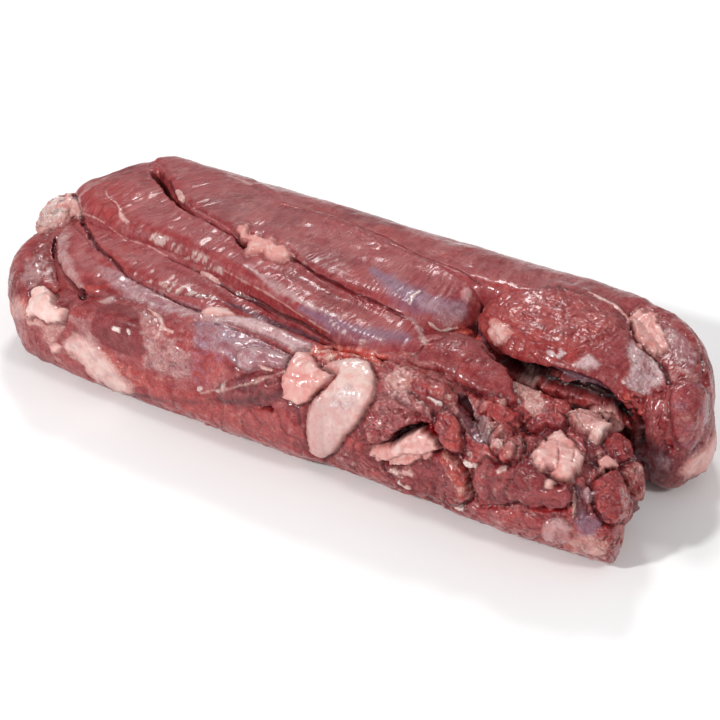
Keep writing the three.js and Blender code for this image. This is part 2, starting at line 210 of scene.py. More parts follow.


# Marks on the surface, each along a line of the photograph's pixels; their tones give colour, painted shade in
# seams and hollows, and painted highlights. wide is the half width in millimetres at even steps of the line, lift
# how far the surface stands out there or, negative, is sunk; rag is how uneven the edge is, sheath how much
# silverskin, wet how glossy, crinkle the depth of fine folds, glint ticks the strength of the short painted
# highlights that cross the line.
MARKS = {
    # Painted shadow in the mouth of the slit.
    "slit_mouth": dict(at=[(156, 172), (164, 182), (174, 196), (184, 207), (192, 213)], wide=(2.4, 3.0, 2.6, 1.8, 0.6),
                       tone=HOLLOW_SHADOW, weight=1.0, lift=-7.0, rag=0.2, only=("long_fillet", "core")),
    "slit_rim": dict(at=[(157, 163), (157, 169), (159, 175)], wide=(0.7, 1.0, 0.6), tone=ORANGE, weight=0.5, rag=0.8),
    "slit_fat": dict(at=[(179, 192), (183, 201)], wide=(1.0, 1.1), tone=FAT_PINK_AND_HIGHLIGHT, weight=0.9, lift=1.5),
    # Painted shade in the seam between the top fillets.
    "top_seam": dict(at=[(191, 213), (205, 219), (218, 227), (238, 238)], wide=(0.7, 0.6, 0.6, 0.7), tone=CREASE_SHADE,
                     weight=0.9, lift=-1.5),
    # A thin lip over the seam, its pale edge laid as painted highlight.
    "top_lip_highlight": dict(at=[(192, 210), (206, 216), (219, 223), (234, 233)], wide=(0.35, 0.4, 0.4, 0.35),
                    tone=MEAT_PALE_AND_HIGHLIGHT, weight=0.7, lift=0.3, wet=1.0),
    # Painted shadow in a hole by the fat.
    "hole_by_fat": dict(at=[(239, 240), (245, 246)], wide=(1.4, 1.2), tone=HOLLOW_SHADOW, weight=1.0, lift=-3.0),
    # Painted shade in the long seam between fillets.
    "long_seam": dict(at=[(291, 258), (306, 267), (318, 276), (336, 284), (350, 292), (365, 298), (381, 305),
                          (396, 313), (406, 318)], wide=(0.8, 0.8, 0.9, 0.7, 0.7, 0.6, 0.5), tone=CREASE_SHADE, weight=0.9,
                      lift=-1.7),
    "long_seam_glints": dict(at=[(292, 255), (304, 263), (314, 271)], wide=(0.4, 0.5, 0.4), tone=FAT_PINK_AND_HIGHLIGHT,
                             weight=0.5, lift=0.2, wet=1.0, glint_ticks=1.0),
    # Painted shade in the seam along the back muscle.
    "back_seam": dict(at=[(281, 204), (306, 210), (327, 214), (350, 221), (373, 232), (388, 238), (404, 247),
                          (419, 255), (434, 261), (460, 270), (480, 284)], wide=(0.3, 0.5, 0.4, 0.5, 0.5, 0.4, 0.6),
                      tone=CREASE_SHADE, weight=0.75, lift=-0.7, rag=0.5),
    "back_red_rims": dict(at=[(278, 201), (303, 206), (327, 211), (352, 218), (378, 231), (404, 243)],
                          wide=(0.5, 0.9, 0.4, 0.8, 0.5, 0.9), tone=MEAT_BRIGHT, weight=0.6, rag=0.7),
    "back_orange": dict(at=[(283, 204), (298, 208), (314, 211)], wide=(0.5, 1.0, 0.4), tone=ORANGE, weight=0.45,
                        rag=0.8),
    "back_pale_patch": dict(at=[(228, 175), (238, 179), (250, 184)], wide=(1.0, 2.0, 1.0), tone=FAT_PINK_AND_HIGHLIGHT,
                            weight=0.45, rag=0.8),
    # Painted glint in a small ring on the back muscle.
    "back_ring_glint": dict(at=[(370, 244), (376, 242), (381, 246), (378, 249), (371, 248)], wide=(0.35, 0.35),
                      tone=FAT_PINK_AND_HIGHLIGHT, weight=0.6, lift=0.3, wet=1.0, rag=0.6),
    "back_grey_sheath": dict(at=[(425, 236), (445, 240), (470, 247)], wide=(0.8, 1.6, 0.8), tone=SMOKE_AND_HIGHLIGHT, weight=0.6,
                             sheath=0.6),
    "smoky_sheath": dict(at=[(243, 264), (258, 273), (270, 284), (284, 292), (300, 301), (318, 310), (338, 316)],
                         wide=(0.4, 1.8, 3.4, 2.6, 2.2, 1.8, 1.2), tone=SMOKE_AND_HIGHLIGHT, weight=0.85, rag=0.6, soft=0.9,
                         sheath=0.8),
    "faint_sheath": dict(at=[(326, 266), (337, 269), (352, 276)], wide=(0.3, 1.2, 0.4), tone=SMOKE_AND_HIGHLIGHT, weight=0.55,
                         rag=0.5, soft=0.9, sheath=0.5),
    "lilac_long": dict(at=[(300, 308), (335, 324), (365, 332), (390, 336), (404, 338)], wide=(2, 5, 7, 8, 6),
                       tone=LILAC, weight=0.85, rag=0.3, soft=1.0, sheath=0.6),
    "lilac_top": dict(at=[(372, 270), (400, 288), (425, 303), (448, 308), (462, 310)], wide=(3, 8, 11, 10, 6),
                      tone=LILAC, weight=0.95, rag=0.35, soft=1.0, sheath=0.6),
    "lilac_end": dict(at=[(428, 304), (446, 312), (464, 312)], wide=(6, 8, 5), tone=SHEATH, weight=0.75, rag=0.4,
                      soft=1.0, sheath=0.5),
    "cream_band": dict(at=[(405, 317), (414, 322), (421, 332), (425, 343)], wide=(0.8, 2.0, 2.2, 1.6), tone=SMOKE_AND_HIGHLIGHT,
                       weight=0.65, rag=0.5, soft=0.8, sheath=0.8, crinkle=0.25),
    "bulb_glints": dict(at=[(410, 304), (413, 296), (420, 291)], wide=(0.5, 1.1, 0.5), tone=FAT_WHITE_AND_HIGHLIGHT, weight=0.7,
                        rag=0.9, lift=0.3, wet=1.0),
    "bulb_low_glints": dict(at=[(428, 322), (440, 331), (458, 328)], wide=(0.5, 0.9, 0.5), tone=FAT_WHITE_AND_HIGHLIGHT,
                            weight=0.6, rag=0.9, lift=0.3, wet=1.0),
    "long_ridge_glints": dict(at=[(224, 270), (243, 281), (266, 293), (281, 302), (300, 315), (330, 333)],
                              wide=(0.4, 0.5, 0.4, 0.5, 0.4, 0.3), tone=FAT_PINK_AND_HIGHLIGHT, weight=0.5, rag=1.1, lift=0.2,
                              wet=1.0),
    # Painted highlights: short glint ticks over the lilac skin.
    "lilac_ticks": dict(at=[(322, 315), (340, 328), (352, 338), (372, 343)], wide=(0.5, 1.2, 1.0, 0.8),
                        tone=FAT_WHITE_AND_HIGHLIGHT, weight=0.6, wet=1.0, glint_ticks=1.0),
    # Painted shadow in the groove under the long fillet's ridge.
    "long_groove": dict(at=[(199, 272), (222, 284), (235, 292), (258, 302), (281, 316), (300, 323), (333, 343)],
                        wide=(0.6, 1.0, 1.1, 1.2, 1.2, 1.1, 0.7), tone=HOLLOW_SHADOW, weight=0.85, lift=-1.6, rag=0.15),
    # Dark lilac silverskin on the third fillet, with painted shade where the long fillet overhangs it.
    "third_lilac_and_shade": dict(at=[(228, 303), (250, 313), (275, 324), (300, 333), (318, 340)], wide=(1.6, 3, 3, 2.4, 1.4),
                       tone=DARK_LILAC_AND_SHADE, weight=0.9, rag=0.3, soft=0.7, sheath=0.6),
    # Painted shadow in the thin line under the silver strip.
    "line_under_strip": dict(at=[(215, 324), (240, 331), (260, 339), (280, 348), (297, 356)],
                             wide=(0.3, 0.45, 0.5, 0.5, 0.3), tone=HOLLOW_SHADOW, weight=0.9, lift=-0.8, rag=0.6),
    "long_end_line": dict(at=[(106, 191), (107, 197), (118, 204), (121, 214)], wide=(0.3, 0.35, 0.4, 0.7),
                          tone=FAT_PINK_AND_HIGHLIGHT, weight=0.8, lift=0.25),
    "long_end_fat": dict(at=[(120, 213), (123, 220), (128, 223)], wide=(0.8, 1.1, 0.7), tone=FAT_PINK_AND_HIGHLIGHT, weight=0.9,
                         lift=0.5, rag=0.4),
    "long_end_pale": dict(at=[(80, 196), (90, 186), (106, 178)], wide=(1.5, 3.5, 2.5), tone=SMOKE_AND_HIGHLIGHT, weight=0.45,
                          rag=0.8, soft=0.9, sheath=0.5),
    # Painted highlights: short glint ticks along the long fillet's lower ridge.
    "long_ticks": dict(at=[(128, 219), (145, 231), (162, 240), (178, 248), (194, 256), (211, 265), (222, 271)],
                       wide=(0.8, 1.3, 1.6, 1.5, 1.8, 1.8, 1.0), tone=FAT_WHITE_AND_HIGHLIGHT, weight=0.5, lift=0.2, wet=1.0,
                       glint_ticks=1.0),
    "third_pale_line": dict(at=[(83, 213), (98, 219), (110, 227), (122, 237), (138, 243), (153, 248), (168, 257)],
                            wide=(0.3, 0.35, 0.35, 0.3, 0.35, 0.3), tone=FAT_PINK_AND_HIGHLIGHT, weight=0.6, lift=0.2, rag=0.9),
    # Painted shade in a groove by the third fillet.
    "third_groove": dict(at=[(168, 257), (184, 264), (199, 271)], wide=(0.6, 0.9, 1.1), tone=CREASE_SHADE, weight=0.9,
                         lift=-1.6),
    "groove_fat": dict(at=[(200, 272), (208, 276), (220, 282)], wide=(0.9, 1.3, 0.6), tone=FAT_PINK_AND_HIGHLIGHT, weight=0.9,
                       lift=0.7, rag=0.5),
    # Painted highlights: short glint ticks along the third fillet's ridge.
    "third_ticks": dict(at=[(132, 272), (144, 280), (161, 283), (176, 288), (190, 292), (202, 296), (216, 299)],
                        wide=(0.5, 0.8, 0.9, 1.6, 1.5, 1.2, 0.7), tone=FAT_WHITE_AND_HIGHLIGHT, weight=0.5, lift=0.2, wet=1.0,
                        glint_ticks=1.0),
    # Painted shade in the seam above the fourth fillet.
    "fourth_seam": dict(at=[(80, 218), (90, 234), (98, 248), (113, 260), (127, 276), (147, 286), (168, 297),
                            (184, 305), (200, 311)], wide=(1.5, 1.3, 1.4, 0.9, 0.8, 0.7, 0.8, 0.8, 0.7), tone=CREASE_SHADE,
                        weight=0.95, lift=-2.4),
    "fourth_pink_rim": dict(at=[(86, 220), (95, 234), (103, 247), (117, 258), (131, 273)], wide=(0.5, 0.5, 0.4),
                            tone=MEAT_BRIGHT, weight=0.6, wet=0.8),
    # Painted shade in the seam at the left end.
    "end_seam": dict(at=[(70, 191), (78, 200), (80, 210), (81, 219)], wide=(0.6, 0.9, 0.9, 1.0), tone=CREASE_SHADE,
                     weight=0.95, lift=-1.6),
    # Painted shade along the fourth fillet's rounded edge.
    "fourth_edge": dict(at=[(56, 238), (55, 250), (57, 262), (64, 276), (76, 289), (84, 298)],
                        wide=(0.8, 1.4, 1.6, 0.9, 0.9, 1.4), tone=CREASE_SHADE, weight=0.95, lift=-2.0),
    "fourth_pink": dict(at=[(86, 288), (95, 289), (107, 286)], wide=(1.2, 1.8, 1.0), tone=ORANGE, weight=0.4,
                        rag=0.5, lift=0.4),
    "fan_folds": dict(at=[(72, 318), (85, 328), (93, 338)], wide=(3.0, 5.0, 2.5), tone=SMOKE_AND_HIGHLIGHT, weight=0.35,
                      rag=0.9, crinkle=0.5, sheath=0.4),
    "window_dot": dict(at=[(115, 328), (118, 330)], wide=(1.9, 1.9), tone=FAT_WHITE_AND_HIGHLIGHT, weight=1.0, rag=0.6,
                       soft=0.2, lift=0.6),
    "window_dot_small": dict(at=[(128, 331), (129, 334)], wide=(0.6, 0.6), tone=FAT_WHITE_AND_HIGHLIGHT, weight=0.9, soft=0.3,
                             lift=0.3),
    "fat_y_long": dict(at=[(148, 309), (161, 318), (162, 328), (158, 337)], wide=(0.7, 1.0, 1.0, 0.7),
                       tone=FAT_PINK_AND_HIGHLIGHT, weight=0.9, lift=0.4, rag=0.6),
    "fat_y_arm": dict(at=[(162, 328), (173, 332)], wide=(1.0, 0.7), tone=FAT_PINK_AND_HIGHLIGHT, weight=0.9, lift=0.4, rag=0.6),
    "low_glint_line": dict(at=[(200, 393), (225, 388), (250, 382), (290, 371)], wide=(0.5, 0.7, 0.7, 0.5),
                           tone=FAT_PINK_AND_HIGHLIGHT, weight=0.4, rag=0.9, lift=0.4, wet=1.0),
    # Painted shadow in a hole by the bulge.
    "bulge_hole": dict(at=[(262, 406), (272, 409)], wide=(1.2, 1.6), tone=HOLLOW_SHADOW, weight=0.8, lift=-2.5),
    "bulge_fat": dict(at=[(261, 367), (272, 370)], wide=(0.9, 0.9), tone=FAT_PINK_AND_HIGHLIGHT, weight=0.9, lift=0.5, rag=0.6),
    "mid_oval": dict(at=[(428, 398), (440, 404)], wide=(1.3, 1.4), tone=FAT_WHITE_AND_HIGHLIGHT, weight=0.9, lift=0.8, rag=0.5),
    # Painted shadow in the slit above the fat roll.
    "mid_slit": dict(at=[(382, 443), (392, 441), (402, 434), (414, 428), (421, 424)],
                     wide=(0.5, 1.2, 1.8, 1.8, 1.2), tone=HOLLOW_SHADOW, weight=0.95, lift=-4.5),
    "mid_hole": dict(at=[(422, 424), (428, 428), (433, 434)], wide=(1.8, 2.4, 1.6), tone=BLOOD, weight=1.0,
                     lift=-5.0, wet=1.0),
    # Painted shadow in a crease of the torn front.
    "mid_crease": dict(at=[(447, 452), (459, 460), (467, 474), (471, 492), (474, 502)],
                       wide=(1.0, 1.6, 1.2, 0.9, 0.5), tone=HOLLOW_SHADOW, weight=0.9, lift=-3.0),
    "mid_grains": dict(at=[(392, 468), (405, 468), (414, 472)], wide=(1.2, 2.2, 1.4), tone=FAT_PINK_AND_HIGHLIGHT, weight=0.7,
                       rag=1.3, lift=0.5),
    "mid_dot": dict(at=[(404, 482), (408, 484)], wide=(2.0, 2.0), tone=FAT_WHITE_AND_HIGHLIGHT, weight=0.95, rag=0.8, lift=0.6),
    "low_dot": dict(at=[(456, 508), (462, 508)], wide=(1.4, 1.4), tone=FAT_WHITE_AND_HIGHLIGHT, weight=0.95, rag=0.7, lift=0.6),
    "head_shadow": dict(at=[(484, 352), (494, 361), (506, 368), (525, 371), (545, 373), (556, 376)],
                        wide=(1.8, 3.2, 4.8, 4.8, 3.6, 1.8), tone=DEEP_SHADOW, weight=1.0, lift=-9.0, rag=0.1),
    # Painted shadow in the gap under the head.
    "head_gap": dict(at=[(520, 376), (556, 384), (590, 392), (618, 404), (628, 418)], wide=(1.8, 2.2, 2.6, 2.8, 2.2),
                     tone=DEEP_SHADOW, weight=0.95, lift=-5.0, rag=0.2),
    "head_wall": dict(at=[(550, 369), (574, 377), (598, 386), (614, 399)], wide=(1.4, 2.6, 2.8, 1.8), tone=DARK_LILAC_AND_SHADE,
                      weight=0.95, rag=0.15, soft=0.6, lift=-2.5, sheath=0.6),
    "grey_tendon": dict(at=[(476, 326), (482, 342), (488, 352)], wide=(1.8, 2.4, 1.2), tone=DARK_LILAC_AND_SHADE, weight=0.85,
                        rag=0.3, sheath=0.6),
    "dots_left": dict(at=[(466, 464), (474, 467)], wide=(1.5, 1.6), tone=FAT_WHITE_AND_HIGHLIGHT, weight=0.9, lift=0.8, rag=0.7),
    "dots_low": dict(at=[(501, 469), (506, 468)], wide=(2.0, 1.8), tone=FAT_PINK_AND_HIGHLIGHT, weight=0.9, lift=0.9),
    "flap_rim": dict(at=[(412, 358), (420, 352), (436, 343), (454, 334), (470, 330), (480, 339), (488, 352)],
                     wide=(0.5, 0.8, 1.2, 1.4, 1.2, 0.6), tone=ORANGE, weight=0.7, rag=0.8, lift=0.3, wet=0.5),
    "cut_edge": dict(at=[(574, 487), (574, 500), (574, 517)], wide=(0.4, 0.5, 0.4), tone=FAT_PINK_AND_HIGHLIGHT, weight=0.7,
                     lift=1.4),
    "lump_crease_left": dict(at=[(556, 446), (558, 456), (557, 470)], wide=(0.35, 0.45, 0.3), tone=MEAT_PALE_AND_HIGHLIGHT,
                             weight=0.9, lift=-0.9),
    "lump_crease_right": dict(at=[(569, 446), (573, 456), (570, 468)], wide=(0.35, 0.45, 0.3), tone=MEAT_PALE_AND_HIGHLIGHT,
                              weight=0.9, lift=-0.9),
    "tongue_crease": dict(at=[(338, 374), (328, 386), (318, 396), (310, 408)], wide=(0.4, 0.6, 0.5, 0.4),
                          tone=MEAT_BRIGHT, weight=0.9, lift=-1.2),
    "dots_middle": dict(at=[(494, 445), (499, 446)], wide=(1.9, 1.9), tone=FAT_PINK_AND_HIGHLIGHT, weight=0.9, lift=1.2),
    "facet_red": dict(at=[(470, 500), (482, 506), (496, 508)], wide=(0.5, 0.8, 0.4), tone=BLOOD, weight=0.8,
                      lift=-0.8, wet=0.8),
    # Painted shade in a fold of the lobe.
    "lobe_fold": dict(at=[(687, 320), (697, 338), (702, 356), (704, 372)], wide=(0.4, 0.6, 0.7, 0.8), tone=CREASE_SHADE,
                      weight=0.8, lift=-1.0),
    "slab_glints": dict(at=[(198, 389), (214, 388), (228, 382), (240, 375), (252, 369)], wide=(0.6, 1.0, 0.8, 1.0, 0.5),
                        tone=FAT_WHITE_AND_HIGHLIGHT, weight=0.6, lift=0.4, wet=1.0, glint_ticks=1.0),
    "head_specks": dict(at=[(548, 352), (556, 356), (566, 352)], wide=(1.0, 1.4, 1.0), tone=SILVER, weight=0.85,
                        rag=1.2, wet=1.0),
    # Painted shade in the seam round the lobe.
    "lobe_seam": dict(at=[(631, 323), (634, 337), (645, 349), (655, 358), (666, 372), (669, 382)],
                      wide=(0.8, 0.9, 0.9, 1.0, 1.4, 1.6), tone=CREASE_SHADE, weight=0.95, lift=-2.0),
    "lobe_ridge_fat": dict(at=[(590, 293), (603, 300), (615, 306), (627, 318)], wide=(0.5, 0.9, 1.2, 0.8),
                           tone=FAT_PINK_AND_HIGHLIGHT, weight=0.9, lift=0.6, rag=0.6),
    "lobe_rim": dict(at=[(709, 372), (713, 390), (714, 410)], wide=(1.0, 1.2, 1.0), tone=ORANGE, weight=0.55,
                     rag=0.7),
    # Painted shadow in the cavity by the lobe.
    "cavity": dict(at=[(632, 412), (640, 424), (638, 438)], wide=(2.5, 4.0, 3.0), tone=DEEP_SHADOW, weight=0.95,
                   lift=-4.0),
}

# Patches of the surface, each inside an outline of the photograph's pixels. lift is how far the patch stands
# out, edge how wide its rounded edge is, rag how far the edge strays, lumpy and crease the height of its lumps
# and the depth of its folds, which also get painted shade, size how large they are, foot the depth of the groove
# round it and of the painted shade in it, second a colour that mixes in by a share, fat how plain and pale the
# surface is; all lengths in millimetres.
PATCHES = {
    "flap_face": dict(
        outline=[(408, 362), (420, 352), (436, 343), (454, 334), (470, 329), (480, 337), (489, 352), (503, 365),
                 (511, 380), (517, 404), (503, 405), (491, 400), (476, 392), (459, 384), (436, 370)],
        tone=MEAT_DARK_AND_SHADE, weight=0.5, lift=1.8, edge=3.0, rag=0.6, lumpy=0.35, size=6, crease=0.12, foot=1.2,
        second=MEAT_BRIGHT, share=0.3),
    "slope": dict(
        outline=[(372, 352), (400, 352), (424, 360), (450, 376), (472, 392), (462, 402), (446, 398), (430, 392),
                 (410, 378), (388, 366)],
        tone=MEAT_PALE_AND_HIGHLIGHT, weight=0.35, lift=2.6, edge=5.0, rag=1.2, lumpy=0.6, size=5, crease=0.3,
        second=ORANGE, share=0.25),
    "band": dict(
        outline=[(454, 396), (463, 393), (472, 404), (480, 418), (487, 432), (488, 441), (479, 443), (470, 437),
                 (465, 424), (459, 410)],
        tone=DARK_LILAC_AND_SHADE, weight=0.85, lift=-1.6, edge=1.6, rag=0.5, second=SHEATH, share=0.3, size=3, sheath=0.7, lumpy=0.3),
    "ridge": dict(
        outline=[(466, 391), (484, 397), (506, 402), (519, 414), (519, 426), (511, 436), (499, 441), (489, 440),
                 (482, 424), (473, 404)],
        tone=MEAT_BRIGHT, weight=0.4, lift=2.2, edge=3.0, rag=0.8, lumpy=0.9, size=4, crease=0.8, foot=1.0,
        second=FAT_PINK_AND_HIGHLIGHT, share=0.35),
    "band_fold": dict(
        outline=[(468, 396), (474, 398), (482, 412), (490, 428), (494, 441), (487, 443), (482, 432), (474, 414)],
        tone=SMOKE_AND_HIGHLIGHT, weight=0.6, lift=0.8, edge=1.0, rag=0.5, size=2, lumpy=0.6, second=DARK_LILAC_AND_SHADE, share=0.6, wet=0.6),
    "grains": dict(
        outline=[(384, 376), (396, 369), (410, 374), (414, 384), (408, 396), (398, 398), (388, 392)],
        tone=FAT_PINK_AND_HIGHLIGHT, weight=0.8, lift=0.8, edge=1.0, rag=1.6, lumpy=0.9, size=2.2, crease=0.4,
        second=MEAT_BRIGHT, share=0.4, fat=0.5),
    "mid_red": dict(
        outline=[(408, 380), (420, 380), (428, 388), (426, 396), (416, 396), (408, 392)],
        tone=BLOOD, weight=0.5, lift=0.8, edge=1.2, rag=0.8, lumpy=0.5, size=2.5, wet=0.8),
    "mid_shade": dict(
        outline=[(372, 402), (392, 393), (412, 393), (424, 402), (434, 410), (430, 420), (416, 412), (398, 408),
                 (380, 412)],
        tone=MEAT_PALE_AND_HIGHLIGHT, weight=0.5, lift=1.4, edge=2.0, rag=1.0, lumpy=0.8, size=3.5, crease=0.7, foot=0.6,
        second=SMOKE_AND_HIGHLIGHT, share=0.4),
    "mid_cut": dict(
        outline=[(364, 424), (368, 408), (380, 401), (396, 401), (410, 408), (418, 420), (412, 428), (398, 434),
                 (386, 442), (374, 446), (366, 440)],
        tone=MEAT, weight=0.55, lift=1.6, edge=2.6, rag=0.7, lumpy=1.0, size=2.2, crease=0.9, foot=0.6,
        second=MEAT_PALE_AND_HIGHLIGHT, share=0.7, wet=0.7),
    "mid_fold": dict(
        outline=[(436, 414), (446, 411), (455, 418), (461, 430), (463, 442), (461, 452), (452, 452), (444, 447),
                 (438, 438), (434, 426)],
        tone=MEAT, weight=0.5, lift=2.8, edge=3.0, rag=0.7, lumpy=0.5, size=5, crease=0.6, foot=1.4,
        second=ORANGE, share=0.4),
    "mid_low": dict(
        outline=[(384, 464), (404, 456), (424, 457), (440, 452), (452, 455), (461, 468), (468, 482), (469, 498),
                 (458, 506), (440, 501), (420, 494), (400, 484)],
        tone=MEAT_DARK_AND_SHADE, weight=0.6, lift=1.8, edge=2.5, rag=0.6, lumpy=0.5, size=4, crease=0.5, foot=1.6,
        second=MEAT, share=0.5),
    "mid_low_edge": dict(
        outline=[(441, 451), (452, 454), (462, 467), (470, 483), (472, 498), (464, 503), (458, 490), (452, 474),
                 (446, 462)],
        tone=ORANGE, weight=0.5, lift=0.9, edge=1.4, rag=0.7, lumpy=0.6, size=2.5, crease=0.4,
        second=FAT_PINK_AND_HIGHLIGHT, share=0.35, wet=0.4),
    "facet": dict(
        outline=[(476, 470), (486, 458), (500, 470), (512, 464), (530, 458), (546, 476), (560, 486), (573, 482),
                 (573, 500), (564, 508), (540, 507), (516, 500), (494, 506), (480, 496), (474, 482)],
        tone=MEAT_DARK_AND_SHADE, weight=0.6, lift=2.0, edge=3.0, rag=1.0, lumpy=0.8, size=6, crease=1.0, foot=1.4,
        second=MEAT, share=0.4),
    # A sunken dark lilac facet, with painted crease shade mixed in.
    "facet_dark": dict(
        outline=[(574, 484), (582, 486), (588, 500), (588, 514), (580, 522), (574, 516), (573, 500)],
        tone=DARK_LILAC_AND_SHADE, weight=0.6, lift=-2.2, edge=1.4, rag=0.6, second=CREASE_SHADE, share=0.5, size=4),
    "facet_slit": dict(
        outline=[(528, 505), (545, 508), (562, 508), (569, 511), (560, 514), (540, 513), (528, 509)],
        tone=BLOOD, weight=0.9, lift=-2.0, edge=0.8, rag=0.4, wet=1.0),
    "low_band": dict(
        outline=[(470, 504), (500, 508), (530, 514), (548, 520), (546, 536), (520, 532), (494, 524), (474, 514)],
        tone=MEAT, weight=0.5, lift=0.8, edge=2.0, rag=1.2, lumpy=0.5, size=4, crease=0.4,
        second=MEAT_BRIGHT, share=0.5),
    "pale_window": dict(
        outline=[(549, 521), (558, 517), (568, 520), (571, 530), (571, 542), (560, 544), (545, 540), (546, 530)],
        tone=SMOKE_AND_HIGHLIGHT, weight=0.92, lift=0.8, edge=1.0, rag=1.2, lumpy=0.2, size=2.5, fat=0.6, sheath=0.6, soft=1.4, second=MEAT_PALE_AND_HIGHLIGHT, share=0.4),
    "lilac_window": dict(
        outline=[(574, 521), (582, 514), (596, 516), (604, 522), (600, 532), (590, 538), (578, 536)],
        tone=LILAC, weight=0.65, lift=0.4, edge=2.0, rag=0.8, sheath=0.8, wet=0.4, second=DARK_LILAC_AND_SHADE, share=0.4, soft=2.4),
    "pale_corner": dict(
        outline=[(572, 534), (586, 537), (600, 534), (608, 541), (606, 553), (594, 557), (578, 552), (568, 544)],
        tone=FAT_PINK_AND_HIGHLIGHT, weight=0.65, lift=0.8, edge=1.5, rag=1.2, lumpy=0.7, size=3, fat=0.5, second=MEAT_PALE_AND_HIGHLIGHT,
        share=0.4, soft=2.2),
    "knob_hollow": dict(
        outline=[(490, 438), (500, 430), (512, 431), (521, 440), (522, 454), (514, 464), (502, 462), (493, 452)],
        tone=BLOOD, weight=0.5, lift=1.6, edge=2.4, rag=0.9, lumpy=1.2, size=3, crease=1.2, foot=1.2,
        second=FAT_PINK_AND_HIGHLIGHT, share=0.3, wet=0.6),
    "knob_red": dict(
        outline=[(500, 451), (508, 446), (516, 449), (514, 458), (506, 464), (499, 460)],
        tone=MEAT_BRIGHT, weight=0.7, lift=1.8, edge=1.6, rag=0.5, foot=1.2, wet=0.7, second=FAT_PINK_AND_HIGHLIGHT, share=0.35),
    "brown_rise": dict(
        outline=[(526, 436), (536, 426), (552, 422), (564, 428), (560, 434), (546, 440), (538, 450), (528, 452)],
        tone=MEAT_DARK_AND_SHADE, weight=0.4, lift=1.2, edge=2.4, rag=0.7, lumpy=0.5, size=4, foot=1.0),
    "brown_fold": dict(
        outline=[(524, 430), (530, 420), (544, 413), (558, 413), (567, 421), (560, 428), (546, 427), (534, 434)],
        tone=MEAT, weight=0.5, lift=2.6, edge=2.8, rag=0.6, lumpy=0.4, size=4, crease=0.4, foot=1.6,
        second=MEAT_BRIGHT, share=0.4),
    "slit_red": dict(
        outline=[(536, 378), (556, 378), (580, 384), (600, 392), (612, 402), (606, 412), (588, 410), (566, 408),
                 (546, 414), (538, 398)],
        tone=MEAT_BRIGHT, weight=0.45, lift=1.2, edge=3.0, rag=1.0, lumpy=0.7, size=4, crease=0.8,
        second=MEAT_PALE_AND_HIGHLIGHT, share=0.35, wet=0.3),
    "pale_strip": dict(
        outline=[(512, 374), (524, 372), (531, 378), (538, 392), (545, 406), (543, 414), (534, 418), (526, 408),
                 (520, 394), (515, 384)],
        tone=FAT_PINK_AND_HIGHLIGHT, weight=0.8, lift=1.0, edge=1.2, rag=0.8, lumpy=0.5, size=2, crease=0.3, fat=0.3,
        second=MEAT_PALE_AND_HIGHLIGHT, share=0.45, wet=0.5),
    "cluster": dict(
        outline=[(567, 414), (575, 409), (585, 412), (598, 404), (612, 407), (622, 416), (625, 427), (616, 430),
                 (606, 437), (597, 441), (588, 436), (577, 428), (569, 422)],
        tone=FAT_PINK_AND_HIGHLIGHT, weight=0.75, lift=2.4, edge=1.8, rag=1.2, lumpy=1.6, size=3.6, crease=0.9, foot=0.8,
        second=MEAT_PALE_AND_HIGHLIGHT, share=0.55, fat=0.5, wet=0.4),
    "cluster_white": dict(
        outline=[(588, 429), (598, 426), (608, 430), (606, 438), (597, 442), (590, 438)],
        tone=FAT_WHITE_AND_HIGHLIGHT, weight=0.9, lift=0.8, edge=1.2, rag=0.8, lumpy=0.6, size=2.5, fat=1.0, soft=1.6),
    "red_folds": dict(
        outline=[(604, 436), (614, 430), (626, 432), (631, 444), (631, 460), (622, 464), (612, 456), (606, 446)],
        tone=BLOOD, weight=0.55, lift=1.8, edge=2.0, rag=0.6, lumpy=1.0, size=3, crease=1.6, foot=1.0, wet=0.7),
    # Painted shade in the gap by the fat.
    "gap_by_fat": dict(
        outline=[(585, 440), (594, 444), (598, 458), (594, 474), (587, 486), (582, 478), (585, 462)],
        tone=CREASE_SHADE, weight=0.6, lift=-1.6, edge=1.6, rag=0.8, second=MEAT_DARK_AND_SHADE, share=0.5),
    "grey_fat": dict(
        outline=[(598, 460), (606, 456), (616, 459), (620, 466), (611, 471), (600, 470)],
        tone=FAT_PINK_AND_HIGHLIGHT, weight=0.9, lift=1.4, edge=1.2, rag=0.6, lumpy=0.5, size=2.5, fat=0.8, foot=0.8, wet=0.6, soft=1.4),
    "red_crag": dict(
        outline=[(592, 485), (601, 478), (612, 470), (621, 480), (625, 488), (634, 494), (638, 508), (627, 516),
                 (615, 525), (604, 521), (595, 508)],
        tone=BLOOD, weight=0.7, lift=2.6, edge=2.4, rag=0.7, lumpy=1.2, size=4, crease=1.6, foot=1.6,
        second=MEAT_BRIGHT, share=0.5, wet=1.0),
    "end_ring": dict(
        outline=[(624, 464), (634, 461), (644, 466), (646, 480), (645, 494), (640, 502), (630, 494), (624, 480)],
        tone=MEAT_BRIGHT, weight=0.6, lift=1.8, edge=2.0, rag=0.6, lumpy=0.6, size=3, crease=1.0, foot=1.2,
        second=FAT_PINK_AND_HIGHLIGHT, share=0.3, wet=0.5),
    "end_ring_hole": dict(
        outline=[(631, 481), (637, 483), (638, 489), (633, 491), (630, 486)],
        tone=BLOOD, weight=0.9, lift=-2.4, edge=1.0, rag=0.3, wet=1.0),
    "lilac_lump": dict(
        outline=[(582, 490), (588, 486), (594, 492), (593, 502), (587, 504), (582, 498)],
        tone=SHEATH, weight=0.8, lift=1.6, edge=1.6, rag=0.4, sheath=0.6, foot=0.8),
    "end_low_red": dict(
        outline=[(594, 528), (606, 524), (618, 526), (616, 538), (606, 548), (598, 542)],
        tone=MEAT_BRIGHT, weight=0.5, lift=1.2, edge=2.0, rag=0.8, lumpy=0.8, size=3, crease=0.6, wet=0.4),
    # A dark bulge with painted crease shade mixed in among its lumps.
